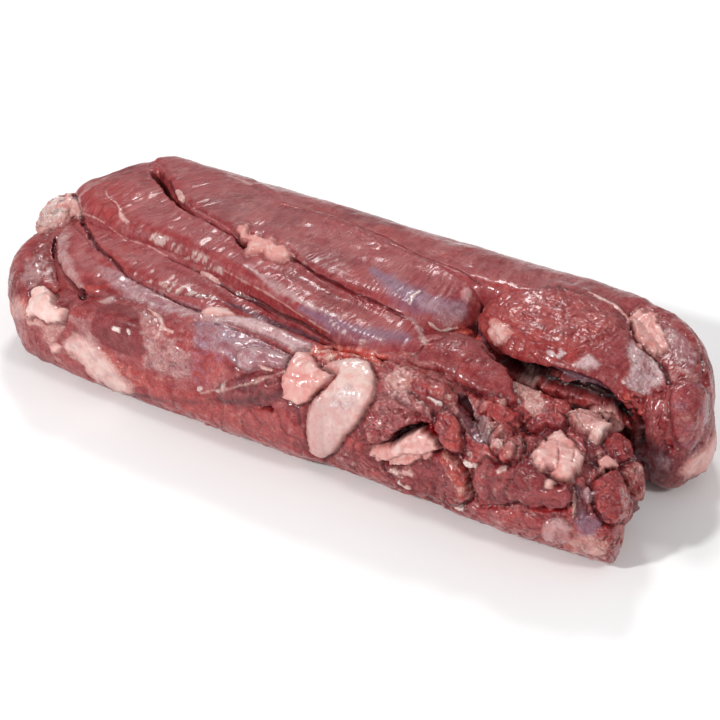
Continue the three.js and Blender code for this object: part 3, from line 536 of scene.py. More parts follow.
    "slab_bulge": dict(
        outline=[(214, 388), (238, 376), (260, 370), (284, 372), (292, 380), (286, 396), (268, 406), (244, 408),
                 (222, 402)],
        tone=MEAT_DARK_AND_SHADE, weight=0.55, lift=1.8, edge=4.0, rag=0.8, lumpy=0.8, size=5, crease=0.8,
        second=CREASE_SHADE, share=0.5, wet=0.6),
    "slab_lilac": dict(
        outline=[(195, 321), (216, 321), (240, 330), (262, 342), (288, 355), (293, 363), (280, 367), (262, 366),
                 (246, 372), (236, 366), (226, 356), (206, 352), (192, 342)],
        tone=SHEATH, weight=0.9, lift=0.3, edge=3.0, rag=0.8, soft=2.6, second=LILAC, share=0.6, size=7,
        sheath=0.8),
    "slab_swell": dict(
        outline=[(238, 352), (252, 346), (272, 350), (290, 358), (284, 366), (264, 366), (248, 372), (238, 366)],
        tone=SHEATH, weight=0.6, lift=1.4, edge=3.0, rag=0.5, soft=1.0, second=SMOKE_AND_HIGHLIGHT, share=0.5, sheath=0.8,
        foot=0.5),
    "silver_strip": dict(
        outline=[(203, 318), (222, 317), (242, 317), (262, 321), (282, 331), (300, 340), (314, 346), (307, 352),
                 (292, 349), (276, 341), (258, 333), (238, 325), (218, 322)],
        tone=SILVER, weight=0.92, lift=1.2, edge=1.6, rag=0.4, soft=1.6, second=SMOKE_AND_HIGHLIGHT, share=0.5, size=5,
        sheath=1.0),
    "cream_bit": dict(
        outline=[(201, 311), (209, 307), (222, 308), (233, 313), (234, 317), (222, 316), (208, 315)],
        tone=FAT_WHITE_AND_HIGHLIGHT, weight=0.9, lift=1.0, edge=1.0, rag=1.1, fat=0.8),
    "dark_window": dict(
        outline=[(92, 320), (98, 307), (112, 304), (128, 305), (137, 310), (140, 324), (143, 340), (145, 350),
                 (140, 359), (128, 356), (115, 351), (100, 343), (93, 334)],
        tone=MEAT_DARK_AND_SHADE, weight=0.85, lift=-0.2, edge=2.0, rag=0.4, soft=0.8, second=MEAT, share=0.3, size=8,
        wet=0.1),
    "silver_window": dict(
        outline=[(137, 311), (152, 314), (160, 328), (170, 340), (184, 351), (194, 357), (190, 364), (193, 378),
                 (178, 377), (162, 372), (149, 367), (146, 356), (144, 344), (140, 328)],
        tone=SMOKE_AND_HIGHLIGHT, weight=0.55, lift=0.5, edge=1.2, rag=2.2, soft=3.0, lumpy=0.5, size=1.7, crease=0.6,
        second=MEAT_PALE_AND_HIGHLIGHT, share=0.6, sheath=0.7, wet=0.5),
    "back_cover": dict(
        outline=[(222, 168), (250, 176), (280, 184), (304, 194), (300, 206), (276, 202), (250, 192), (226, 182)],
        tone=MEAT, weight=0.9, rag=0.6, soft=3.0, second=MEAT_PALE_AND_HIGHLIGHT, share=0.3),
    # The belly's red, laid brighter as painted light where its surface faces down, with blood red mixed in.
    "belly_red_and_light": dict(
        outline=[(150, 385), (200, 395), (240, 405), (290, 410), (310, 440), (318, 462), (280, 450), (240, 436),
                 (200, 420), (150, 402)],
        tone=MEAT_BRIGHT, weight=0.5, lift=1.2, edge=5.0, rag=1.0, lumpy=0.9, size=6, crease=0.6, second=BLOOD,
        share=0.4, wet=0.8),
    "red_window": dict(
        outline=[(191, 353), (204, 350), (218, 353), (227, 360), (222, 372), (212, 385), (198, 387), (193, 379),
                 (190, 365)],
        tone=MEAT_BRIGHT, weight=0.6, lift=-0.2, edge=2.0, rag=0.5, second=LILAC, share=0.4, size=7, wet=0.3),
    "orange_edge": dict(
        outline=[(100, 346), (108, 352), (120, 362), (134, 369), (146, 376), (150, 384), (138, 386), (124, 377),
                 (112, 366), (102, 356)],
        tone=ORANGE, weight=0.5, lift=1.0, edge=1.6, rag=1.0, lumpy=0.5, size=2.5, crease=0.4,
        second=MEAT_PALE_AND_HIGHLIGHT, share=0.5, wet=0.5),
    "left_tendon": dict(
        outline=[(70, 338), (78, 332), (88, 338), (101, 350), (113, 362), (121, 374), (133, 386), (131, 393),
                 (116, 391), (99, 382), (87, 369), (79, 357), (68, 354), (63, 347), (64, 341)],
        tone=FAT_WHITE_AND_HIGHLIGHT, weight=0.85, lift=0.7, edge=1.6, rag=1.2, lumpy=0.5, size=3.5, crease=0.2, foot=0.2,
        second=SHEATH, share=0.35, fat=0.8, soft=2.4),
    "left_lump_foot": dict(
        outline=[(26, 314), (38, 316), (46, 322), (58, 322), (63, 330), (60, 340), (52, 345), (45, 338), (42, 328),
                 (30, 326)],
        tone=FAT_PINK_AND_HIGHLIGHT, weight=0.7, lift=1.0, edge=1.4, rag=1.2, lumpy=0.9, size=3.5, crease=0.4, fat=0.4,
        second=MEAT_PALE_AND_HIGHLIGHT, share=0.6),
    "left_lump": dict(
        outline=[(30, 291), (39, 287), (49, 289), (54, 296), (53, 303), (59, 305), (66, 312), (64, 321), (55, 323),
                 (46, 320), (40, 315), (31, 316), (27, 311), (29, 305), (31, 298)],
        tone=FAT_WHITE_AND_HIGHLIGHT, weight=1.0, lift=3.0, edge=3.0, rag=1.2, lumpy=1.3, size=6.0, crease=0.35, foot=0.8,
        second=FAT_PINK_AND_HIGHLIGHT, share=0.15, fat=1.0, soft=1.6),
    "left_dot": dict(
        outline=[(50, 346), (56, 343), (62, 347), (60, 352), (52, 352)],
        tone=FAT_WHITE_AND_HIGHLIGHT, weight=0.9, lift=1.2, edge=1.2, rag=0.4, fat=1.0),
    "end_torn": dict(
        outline=[(33, 229), (37, 218), (46, 207), (58, 197), (70, 193), (78, 204), (79, 216), (70, 222), (58, 226),
                 (46, 233)],
        tone=FAT_WHITE_AND_HIGHLIGHT, weight=0.8, lift=1.2, edge=2.4, rag=1.4, lumpy=0.9, size=4.5, crease=0.6, foot=0.4,
        second=ORANGE, share=0.5, fat=0.2),
    "end_fat": dict(
        outline=[(67, 196), (72, 192), (79, 200), (81, 212), (77, 219), (70, 215), (68, 205)],
        tone=FAT_WHITE_AND_HIGHLIGHT, weight=0.9, lift=1.0, edge=1.3, rag=0.7, lumpy=0.8, size=4.0, crease=0.4, fat=1.0, soft=1.4),
    "end_brow": dict(
        outline=[(38, 238), (52, 229), (60, 234), (58, 246), (60, 262), (50, 266), (34, 262), (30, 250)],
        tone=MEAT_DARK_AND_SHADE, weight=0.5, lift=0.4, edge=4.0, rag=0.8, wet=0.5, lumpy=0.3),
    "end_glints": dict(
        outline=[(26, 262), (40, 254), (50, 262), (44, 276), (30, 288), (22, 280)],
        tone=SMOKE_AND_HIGHLIGHT, weight=0.5, lift=0.2, edge=1.5, rag=2.0, lumpy=0.7, size=2.0, second=MEAT_DARK_AND_SHADE, share=0.7,
        wet=1.0),
    "end_tip": dict(
        outline=[(4, 312), (8, 300), (20, 296), (30, 304), (28, 318), (16, 318)],
        tone=FAT_PINK_AND_HIGHLIGHT, weight=0.5, lift=0.4, edge=3.0, rag=1.0, soft=2.0, second=ORANGE, share=0.5),
    "fourth_pale": dict(
        outline=[(59, 234), (65, 226), (70, 230), (66, 246), (70, 262), (80, 276), (86, 286), (78, 288), (66, 274),
                 (59, 258)],
        tone=SMOKE_AND_HIGHLIGHT, weight=0.7, lift=0.4, edge=1.0, rag=1.2, lumpy=0.5, size=2, second=MEAT_PALE_AND_HIGHLIGHT, share=0.6,
        sheath=0.6, wet=0.5),
    "fourth_silver": dict(
        outline=[(98, 268), (110, 268), (124, 276), (142, 284), (162, 293), (186, 303), (204, 311), (200, 318),
                 (176, 314), (150, 306), (128, 297), (112, 286)],
        tone=SHEATH, weight=0.8, lift=0.3, edge=1.5, rag=1.0, soft=1.2, lumpy=0.4, size=2, second=SMOKE_AND_HIGHLIGHT, share=0.6,
        sheath=0.8, wet=0.4),
    "fourth_bit": dict(
        outline=[(98, 301), (106, 297), (117, 296), (114, 302), (102, 304)],
        tone=SMOKE_AND_HIGHLIGHT, weight=0.9, lift=0.8, edge=0.8, rag=0.8, wet=0.8, fat=0.4),
    "notch": dict(
        outline=[(80, 288), (84, 289), (87, 298), (84, 300), (80, 296)],
        tone=HOLLOW_SHADOW, weight=1.0, lift=-3.0, edge=0.8, rag=0.2),
    "middle_fat": dict(
        outline=[(237, 230), (240, 224), (246, 225), (248, 232), (257, 237), (266, 237), (277, 242), (284, 246),
                 (292, 254), (289, 259), (280, 259), (272, 258), (264, 254), (256, 252), (248, 256), (244, 250),
                 (249, 243), (247, 239), (240, 239)],
        tone=FAT_PINK_AND_HIGHLIGHT, weight=1.0, lift=1.4, edge=1.8, rag=1.2, lumpy=1.0, size=4.0, crease=0.5, foot=0.4,
        second=FAT_WHITE_AND_HIGHLIGHT, share=0.4, fat=1.0, soft=1.4),
    "bead": dict(
        outline=[(462, 291), (467, 288), (472, 292), (472, 300), (467, 304), (462, 299)],
        tone=SMOKE_AND_HIGHLIGHT, weight=0.9, lift=1.4, edge=1.4, rag=0.3, fat=0.8, wet=0.6),
    "tongue_left": dict(
        outline=[(291, 359), (299, 353), (309, 354), (315, 361), (324, 371), (337, 373), (328, 385), (318, 391),
                 (310, 400), (300, 405), (284, 397), (285, 384), (288, 370)],
        tone=FAT_PINK_AND_HIGHLIGHT, weight=1.0, lift=2.2, edge=3.0, rag=0.8, lumpy=1.0, size=6.0, crease=0.3, foot=0.8,
        second=FAT_WHITE_AND_HIGHLIGHT, share=0.6, fat=1.0, soft=1.6),
    "tongue_red": dict(
        outline=[(308, 352), (315, 346), (330, 346), (353, 347), (376, 350), (390, 356), (380, 363), (361, 359),
                 (350, 358), (340, 361), (329, 363), (317, 358)],
        tone=ORANGE, weight=0.9, lift=1.2, edge=2.0, rag=0.8, lumpy=0.6, size=4, second=FAT_PINK_AND_HIGHLIGHT, share=0.6,
        wet=0.5),
    "tongue": dict(
        outline=[(322, 366), (340, 361), (356, 360), (370, 364), (374, 376), (375, 388), (371, 401), (364, 413),
                 (356, 426), (345, 436), (336, 449), (325, 457), (315, 453), (309, 444), (307, 428), (309, 410),
                 (316, 396), (328, 386), (337, 375)],
        tone=FAT_WHITE_AND_HIGHLIGHT, weight=0.85, lift=2.6, edge=4.0, rag=0.5, lumpy=0.35, size=10.0, crease=0.12, foot=0.8,
        second=SMOKE_AND_HIGHLIGHT, share=0.5, fat=1.0, soft=1.6),
    "tongue_grey": dict(
        outline=[(336, 392), (350, 386), (362, 392), (360, 404), (346, 410), (334, 406)],
        tone=SMOKE_AND_HIGHLIGHT, weight=0.55, rag=1.0, soft=2.0, second=FAT_WHITE_AND_HIGHLIGHT, share=0.5, fat=0.0),
    "fat_roll": dict(
        outline=[(372, 448), (378, 444), (390, 444), (400, 438), (407, 432), (418, 428), (430, 432), (438, 440),
                 (439, 449), (430, 455), (418, 458), (405, 461), (392, 463), (380, 461), (373, 455)],
        tone=FAT_PINK_AND_HIGHLIGHT, weight=0.95, lift=2.2, edge=2.6, rag=1.2, lumpy=0.9, size=4.5, crease=0.35, foot=0.8,
        second=FAT_WHITE_AND_HIGHLIGHT, share=0.65, fat=0.9, wet=0.6, soft=1.6),
    "crag_lump": dict(
        outline=[(540, 446), (548, 439), (556, 433), (566, 436), (575, 444), (583, 455), (582, 467), (578, 474),
                 (569, 477), (561, 482), (554, 478), (549, 469), (540, 470), (532, 464), (529, 454), (535, 449)],
        tone=FAT_PINK_AND_HIGHLIGHT, weight=1.0, lift=2.6, edge=3.0, rag=1.2, lumpy=1.0, size=6.0, crease=0.3, foot=0.8,
        second=FAT_WHITE_AND_HIGHLIGHT, share=0.6, fat=1.0, soft=1.8),
    "crag_bit": dict(
        outline=[(547, 481), (551, 478), (555, 482), (552, 487), (547, 486)],
        tone=FAT_WHITE_AND_HIGHLIGHT, weight=1.0, lift=1.2, edge=1.0, rag=0.3, fat=1.0),
    "head_face": dict(
        outline=[(500, 330), (518, 302), (560, 290), (600, 308), (626, 328), (600, 350), (568, 362), (530, 364),
                 (504, 352)],
        tone=MEAT_BRIGHT, weight=0.6, edge=5.0, rag=1.2, soft=4.0, lumpy=0.5, size=5, crease=0.35,
        second=MEAT_DARK_AND_SHADE, share=0.45),
    "head_blob": dict(
        outline=[(484, 316), (490, 311), (500, 312), (504, 320), (498, 326), (488, 326)],
        tone=BLOOD, weight=0.6, lift=1.0, edge=2.0, rag=0.6, second=MEAT_BRIGHT, share=0.5, wet=0.7),
    "head_fat": dict(
        outline=[(490, 326), (498, 321), (508, 324), (511, 334), (506, 342), (498, 343), (492, 336)],
        tone=FAT_PINK_AND_HIGHLIGHT, weight=0.9, lift=0.8, edge=1.6, rag=1.3, lumpy=0.6, size=4.0, crease=0.3, fat=0.7,
        second=FAT_WHITE_AND_HIGHLIGHT, share=0.5, soft=1.6),
    "head_facet": dict(
        outline=[(592, 350), (610, 338), (630, 327), (629, 342), (627, 360), (614, 368), (600, 362)],
        tone=MEAT, weight=0.5, lift=0.5, edge=1.0, rag=0.2, soft=0.4, wet=0.6),
    "head_patch": dict(
        outline=[(572, 366), (582, 359), (590, 356), (600, 364), (597, 368), (584, 368)],
        tone=SILVER, weight=0.9, lift=0.4, edge=0.8, rag=0.5, sheath=1.0),
    "head_sheath": dict(
        outline=[(628, 342), (640, 348), (655, 359), (665, 372), (665, 380), (656, 386), (648, 391), (640, 397),
                 (633, 390), (624, 382), (627, 373), (633, 365), (627, 352)],
        tone=SILVER, weight=0.85, lift=0.3, edge=1.2, rag=1.2, soft=3.0, lumpy=0.5, size=2.5, crease=0.4,
        second=SHEATH, share=0.7, sheath=0.9),
    "head_red": dict(
        outline=[(616, 396), (624, 388), (634, 392), (645, 396), (643, 414), (633, 428), (625, 426), (618, 412)],
        tone=BLOOD, weight=0.75, lift=1.2, edge=2.0, rag=0.9, lumpy=1.0, size=3, crease=1.0, second=ORANGE,
        share=0.5, wet=0.8),
    "lobe_fat": dict(
        outline=[(630, 320), (637, 312), (648, 310), (656, 315), (660, 324), (667, 337), (667, 347), (661, 354),
                 (650, 351), (640, 344), (633, 332)],
        tone=FAT_PINK_AND_HIGHLIGHT, weight=0.95, lift=1.4, edge=1.6, rag=1.3, lumpy=1.0, size=4.5, crease=0.45, foot=0.3,
        second=FAT_WHITE_AND_HIGHLIGHT, share=0.4, fat=0.9, soft=1.8),
    # Blood red, with painted shade mixed in and in its folds.
    "lobe_red": dict(
        outline=[(652, 392), (660, 384), (668, 388), (670, 408), (672, 432), (674, 452), (664, 452), (656, 430),
                 (652, 410)],
        tone=BLOOD, weight=0.5, lift=-0.6, edge=2.0, rag=0.8, crease=1.2, lumpy=0.6, size=3, second=CREASE_SHADE,
        share=0.5),
    "lobe_face": dict(
        outline=[(672, 388), (684, 380), (700, 384), (709, 396), (709, 416), (702, 436), (690, 452), (680, 448),
                 (673, 430), (670, 408)],
        tone=MEAT, weight=0.35, lift=1.0, edge=2.4, rag=0.7, soft=2.6, lumpy=0.5, size=4, foot=0.5,
        second=LILAC, share=0.3, wet=0.3),
    "lobe_shade": dict(
        outline=[(630, 440), (646, 436), (662, 448), (674, 462), (672, 478), (654, 484), (640, 470), (634, 456)],
        tone=DARK_LILAC_AND_SHADE, weight=0.5, lift=0.2, edge=2.0, rag=1.0, lumpy=0.6, size=3, second=MEAT_DARK_AND_SHADE, share=0.6,
        wet=0.4),
    "lobe_patch": dict(
        outline=[(652, 457), (662, 455), (671, 460), (669, 469), (658, 470)],
        tone=SHEATH, weight=0.7, lift=0.3, edge=1.0, rag=0.8, soft=1.2, sheath=0.6),
    "lobe_grey": dict(
        outline=[(664, 326), (678, 330), (690, 344), (697, 362), (692, 374), (680, 368), (670, 350)],
        tone=SHEATH, weight=0.45, lift=0.2, edge=2.0, rag=1.2, soft=2.0, second=SMOKE_AND_HIGHLIGHT, share=0.5, sheath=0.7,
        lumpy=0.3, size=2),
    "lobe_hole": dict(
        outline=[(703, 371), (708, 373), (710, 386), (705, 387), (702, 379)],
        tone=BLOOD, weight=1.0, lift=-1.6, edge=1.0, rag=0.3, wet=1.0),
    "lobe_low_fat": dict(
        outline=[(716, 428), (718, 453), (707, 468), (688, 478), (678, 472), (691, 459), (706, 446)],
        tone=FAT_PINK_AND_HIGHLIGHT, weight=0.9, lift=0.8, edge=1.5, rag=0.9, soft=2.2, lumpy=0.4, size=3, second=FAT_WHITE_AND_HIGHLIGHT,
        share=0.3, fat=0.7),
}


# Noise.

def lattice(cell, seed):
    """A number from -1 to 1 for each integer cell: the three indices times large primes, folded and scrambled."""
    h = cell[..., 0] * 374761393 + cell[..., 1] * 668265263 + cell[..., 2] * 2246822519 + seed * 3266489917
    h = h & 0xFFFFFFFF
    h = ((h ^ (h >> 13)) * 1274126177) & 0xFFFFFFFF
    h = ((h ^ (h >> 16)) * 2654435761) & 0xFFFFFFFF
    return ((h >> 9) & 0xFFFF) / 32767.5 - 1.0


def noise(points, size, seed):
    """Value noise: the lattice numbers at the eight corners round a point, blended by quintic fades."""
    q = points / size
    base = np.floor(q).astype(np.int64)
    f = q - base
    f = f * f * f * (f * (f * 6 - 15) + 10)
    total = np.zeros(points.shape[:-1])
    for corner in range(8):
        step = np.array([corner & 1, corner >> 1 & 1, corner >> 2 & 1])
        weight = np.prod(np.where(step == 1, f, 1 - f), axis=-1)
        total += weight * lattice(base + step, seed)
    return total


TURN = np.array([[0.36, 0.48, -0.8], [-0.8, 0.6, 0.0], [0.48, 0.64, 0.6]])


def layers(points, size, seed, octaves=3, gain=0.5):
    """Layered noise: each layer is turned, half the size and gain times the strength of the one before."""
    total, weight, reach = 0.0, 1.0, 0.0
    for k in range(octaves):
        total = total + weight * noise(points, size, seed + 17 * k)
        reach += weight
        weight *= gain
        points = points @ TURN.T * 2.03
    return total / reach


def ramp(value, low, high):
    """Smooth step from 0 at low to 1 at high, the other way where low is the larger."""
    t = np.clip((value - low) / (high - low), 0, 1)
    return t * t * (3 - 2 * t)


# Shapes of the muscles.

def through(stations, shares):
    """Smooth curve through the stations: cubic pieces whose knots stand at the root of their distances."""
    rows = np.asarray(stations, float)
    knots = np.concatenate([[0], np.cumsum(np.linalg.norm(np.diff(rows[:, :2], axis=0), axis=1) ** 0.5)])
    knots /= knots[-1]
    slope = np.gradient(rows, knots, axis=0)
    i = np.clip(np.searchsorted(knots, shares, side="right") - 1, 0, len(rows) - 2)
    gap = (knots[i + 1] - knots[i])[:, None]
    s = (shares[:, None] - knots[i][:, None]) / gap
    return ((2 * s ** 3 - 3 * s ** 2 + 1) * rows[i] + (s ** 3 - 2 * s ** 2 + s) * gap * slope[i]
            + (3 * s ** 2 - 2 * s ** 3) * rows[i + 1] + (s ** 3 - s ** 2) * gap * slope[i + 1])


def section(corner, aspect, show, count):
    """Superellipse |across|^corner + |rise|^corner = 1, with its points closer together on the side that shows."""
    angle = np.linspace(0, 2 * np.pi, 8001)
    c, s = np.cos(angle), np.sin(angle)
    across = np.sign(c) * np.abs(c) ** (2 / corner)
    rise = np.sign(s) * np.abs(s) ** (2 / corner)
    facing = (across * show[0] + rise * show[1]) / math.hypot(*show)
    step = np.hypot(np.diff(across), np.diff(rise) * aspect)
    density = 1 + FINE_BIAS * ramp(facing[1:], -0.2, 0.5)
    run = np.concatenate([[0], np.cumsum(step * density)])
    at = np.linspace(0, run[-1], count, endpoint=False)
    return np.interp(at, run, across), np.interp(at, run, rise)


def frame_of(stations, shares):
    """Centre line at the shares: rows, unit direction along, unit direction across and the length run so far."""
    mid = through(stations, shares)
    ahead = np.gradient(mid[:, :2], axis=0)
    ahead /= np.linalg.norm(ahead, axis=1)[:, None]
    run = np.concatenate([[0], np.cumsum(np.linalg.norm(np.diff(mid[:, :2], axis=0), axis=1))])
    return mid, ahead, np.stack([-ahead[:, 1], ahead[:, 0]], -1), run


def crowded(count):
    """Shares from 0 to 1 that stand closer together near both ends."""
    k = np.linspace(0, 1, count)
    return END_CROWDING * (0.5 - 0.5 * np.cos(np.pi * k)) + (1 - END_CROWDING) * k


def end_size(run, ends):
    """How much of its section a muscle has at each run: 1, and down to 0 along a blunt curve at both ends."""
    size = np.ones_like(run)
    for left, reach in ((run, ends[0]), (run[-1] - run, ends[1])):
        near = np.clip(1 - left / reach, 0, 1)
        size = size * (1 - near ** CAP_POWER) ** (1 / CAP_POWER)
    return size


def loaf_reach(points, proud):
    """How far out in the loaf's rounded section each point is, as a share of it: 1 on the section."""
    middle = LOAF_HEIGHT / 2
    up = points[..., 2] - middle
    y = np.abs(points[..., 1]) / (LOAF_HALF_WIDTH + proud)
    z = np.abs(up) / (middle + np.where(up > 0, proud, LOAF_SINK))
    return np.maximum((y ** LOAF_POWER + z ** LOAF_POWER) ** (1 / LOAF_POWER), 1e-6)


def scaled_in_section(points, share):
    """Points moved straight to or from the middle line of the loaf, to a share of their distance."""
    middle = LOAF_HEIGHT / 2
    y, z = points[..., 1] * share, middle + (points[..., 2] - middle) * share
    return np.stack([points[..., 0], y, z], -1)


def press(points, proud):
    """Squeezes what stands out of the loaf's rounded section back towards it."""
    reach = loaf_reach(points, proud)
    over = np.clip(reach - LOAF_FREE, 0, None)
    kept = np.where(over > 0, LOAF_FREE + LOAF_GIVE * (1 - np.exp(-over / LOAF_GIVE)), reach)
    return scaled_in_section(points, kept / reach)


def unpress(points, proud):
    """The place that a pressed point came from; points past the loaf's give come out far away."""
    kept = loaf_reach(points, proud)
    left = np.clip(1 - (kept - LOAF_FREE) / LOAF_GIVE, 1e-3, 1)
    reach = np.where(kept > LOAF_FREE, LOAF_FREE - LOAF_GIVE * np.log(left), kept)
    return scaled_in_section(points, reach / kept)


class Muscle:
    """One muscle's surface: rings of points round its path, closed by a tip at each end."""

    def __init__(self, name, corner, ends, proud, show, grain, rough, stations, step=STEP):
        self.name, self.corner, self.ends, self.proud = name, corner, ends, proud
        self.grain, self.rough, self.stations = grain, rough, np.asarray(stations, float)
        length = np.linalg.norm(np.diff(self.stations[:, :2], axis=0), axis=1).sum()
        half, deep = self.stations[:, 3].mean(), self.stations[:, 4].mean() / 2
        mid, ahead, across, run = frame_of(self.stations, crowded(int(length / step)))
        around, rise = section(corner, deep / half, show, int(3.6 * (half + deep) / step))
        size = end_size(run, ends)[:, None]
        reach = mid[:, 3:4] * size * around
        rings = np.empty(reach.shape + (3,))
        rings[..., :2] = mid[:, None, :2] + across[:, None] * reach[..., None]
        rings[..., 2] = (mid[:, 2] - mid[:, 4] / 2)[:, None] + mid[:, 4:5] / 2 * size * rise
        self.rings = press(rings[1:-1], proud)
        self.tips = press(np.stack([rings[0, 0], rings[-1, 0]]), proud)
        self.run = np.broadcast_to(run[1:-1, None], self.rings.shape[:2])
        self.around = np.concatenate(
            [np.zeros((len(self.rings), 1)),
             np.cumsum(np.linalg.norm(np.diff(self.rings, axis=1), axis=-1), axis=1)], axis=1)

    def normals(self):
        """Unit normals from the differences between neighbouring points, along and round."""
        along = np.gradient(self.rings, axis=0)
        round_ = np.roll(self.rings, -1, axis=1) - np.roll(self.rings, 1, axis=1)
        n = np.cross(along, round_)
        n /= np.maximum(np.linalg.norm(n, axis=-1), 1e-9)[..., None]
        outward = self.rings - self.rings.mean(axis=1, keepdims=True)
        return n * np.sign((n * outward).sum())

    def distance_out(self, points):
        """Roughly how far the points stand out of this muscle, in millimetres, negative inside."""
        mid, ahead, across, run = frame_of(self.stations, np.linspace(0, 1, 96))
        flat = unpress(points.reshape(-1, 3), self.proud)
        gap = ((flat[:, None, :2] - mid[None, :, :2]) ** 2).sum(-1)
        i = gap.argmin(axis=1)
        size = np.maximum(end_size(run, self.ends)[i], 0.25)
        offset = flat[:, :2] - mid[i, :2]
        beyond = np.abs((offset * ahead[i]).sum(-1)) / (mid[i, 3] * size)
        side = np.abs((offset * across[i]).sum(-1)) / (mid[i, 3] * size)
        up = np.abs(flat[:, 2] - mid[i, 2] + mid[i, 4] / 2) / (mid[i, 4] / 2 * size)
        norm = (side ** self.corner + up ** self.corner + beyond ** self.corner) ** (1 / self.corner)
        return ((norm - 1) * mid[i, 3]).reshape(points.shape[:-1])


def spread(few, rows, cols, shape):
    """Values at some rows and columns of a ring grid, spread straight between them over the whole grid."""
    wrapped = np.concatenate([few, few[:, :1]], axis=1)
    at = np.append(cols, shape[1])
    wide = np.stack([np.interp(np.arange(shape[1]), at, row) for row in wrapped])
    full = np.arange(shape[0])
    i = np.clip(np.searchsorted(rows, full, side="right") - 1, 0, len(rows) - 2)
    s = ((full - rows[i]) / (rows[i + 1] - rows[i]))[:, None]
    return wide[i] * (1 - s) + wide[i + 1] * s


def gap_to(muscle, others, every=3):
    """Distance from each point of a muscle to the nearest other muscle, worked out on every third point."""
    rows = np.unique(np.append(np.arange(0, len(muscle.rings), every), len(muscle.rings) - 1))
    cols = np.arange(0, muscle.rings.shape[1], every)
    few = muscle.rings[np.ix_(rows, cols)]
    nearest = np.full(few.shape[:-1], 50.0)
    low, high = few.reshape(-1, 3).min(axis=0)[:2], few.reshape(-1, 3).max(axis=0)[:2]
    for other in others:
        wide = other.stations[:, 3:4].max() + 6
        if (other.stations[:, :2].max(0) + wide > low).all() and (other.stations[:, :2].min(0) - wide < high).all():
            nearest = np.minimum(nearest, other.distance_out(few))
    return spread(nearest, rows, cols, muscle.rings.shape[:2])


def wrinkles(muscle):
    """Cross wrinkles: noise drawn out across the muscle, about 2 mm from one to the next, sharpened to ridges."""
    u, v = muscle.run, muscle.around
    sway = 3.0 * noise(np.stack([u / 3, v / 3, u * 0], -1), 6.0, 5)
    q = np.stack([u - 0.05 * v + 0.5 * sway, v * 0.20, u * 0 + len(muscle.name)], -1)
    first = 1 - np.abs(noise(q, 1.9, 11)) * 2
    second = noise(q * 1.7 + 40, 1.6, 12)
    return first * 0.7 + second * 0.3


def warped(points, size, reach, seed):
    """Points moved by noise, so that what is laid on them winds."""
    sway = [noise(points, size, seed + k) for k in range(3)]
    return points + reach * np.stack(sway, -1)


def torn(points):
    """Torn meat: chunks parted by winding creases, from about -1 in a crease to 1 on a chunk, and their creases."""
    p = warped(points, 6.0, 3.0, 40)
    chunks = layers(p, 13.0, 44, 3)
    lines = np.minimum(np.abs(layers(p, 6.5, 47, 3)), np.abs(layers(p + 30, 8.0, 52, 3)) * 1.3)
    return chunks, ramp(lines, 0.08, 0.0)


def relief(muscle):
    """How far each point stands out, in millimetres: slow swells, lumps, cross wrinkles and torn relief."""
    p = muscle.rings
    swell = 0.9 * layers(p, 30.0, 1, 2) + 0.45 * layers(p, 9.0, 2, 2)
    patchy = ramp(layers(p, 14.0, 3, 2), -0.25, 0.35)
    lines = muscle.grain * wrinkles(muscle) * (0.35 + 0.65 * patchy)
    muscle.chunks, muscle.creases = torn(p)
    muscle.crumbly = muscle.rough * (2.2 * muscle.chunks - 1.6 * muscle.creases + 0.5 * layers(p, 2.2, 6, 2))
    meet = np.exp(-(np.clip(muscle.gap, 0, None) / 2.2) ** 2) * 0.8
    return swell + lines + muscle.crumbly + meet


muscles = [Muscle(name, **spec) for name, spec in MUSCLES.items()]
for muscle in muscles:
    muscle.gap = gap_to(muscle, [m for m in muscles if m is not muscle])
for muscle in muscles:
    above = np.clip(muscle.rings[..., 2] / 6.0, 0, 1)[..., None]
    muscle.outward = muscle.normals()
    muscle.rings = muscle.rings + muscle.outward * relief(muscle)[..., None] * above
    muscle.rings[..., 2] = np.maximum(muscle.rings[..., 2], 0)
    muscle.tips[..., 2] = np.maximum(muscle.tips[..., 2], 0)
    muscle.tint = np.broadcast_to(MEAT, muscle.rings.shape).copy()
    muscle.sheath = np.zeros(muscle.rings.shape[:2])
    muscle.wet = 0.35 * ramp(layers(muscle.rings, 11.0, 71, 3), -0.05, 0.35) + 0.5 * min(muscle.rough * 2, 1)
    to_end = np.minimum(muscle.run, muscle.run.max() - muscle.run)
    muscle.drawn = np.clip(muscle.grain * 5 - 0.8, 0.1, 1) * ramp(to_end, 4.0, 14.0)


# Where the photograph's pixels land on the meat.

def direction(azimuth, elevation):
    """Unit vector from the object towards the azimuth and elevation, as the camera stands."""
    return np.array([math.sin(azimuth) * math.cos(elevation), -math.cos(azimuth) * math.cos(elevation),
                     math.sin(elevation)])


EYE = TARGET + direction(AZIMUTH, ELEVATION) * DISTANCE
AHEAD = -direction(AZIMUTH, ELEVATION)
RIGHTWARD = np.array([math.cos(AZIMUTH), math.sin(AZIMUTH), 0.0])
UPWARD = np.cross(RIGHTWARD, AHEAD)


def surface_tree(every=3):
    """Tree of all the muscles' surfaces, on every third ring and point."""
    points, faces, start = [], [], 0
    for muscle in muscles:
        rings = muscle.rings[::every, ::every]
        count, sides = rings.shape[:2]
        i, k = np.meshgrid(np.arange(count - 1), np.arange(sides), indexing="ij")
        a, b = i * sides + k + start, i * sides + (k + 1) % sides + start
        points.append(rings.reshape(-1, 3))
        faces.append(np.stack([a, b, b + sides, a + sides], -1).reshape(-1, 4))
        start += count * sides
    return BVHTree.FromPolygons(np.concatenate(points).tolist(), np.concatenate(faces).tolist())


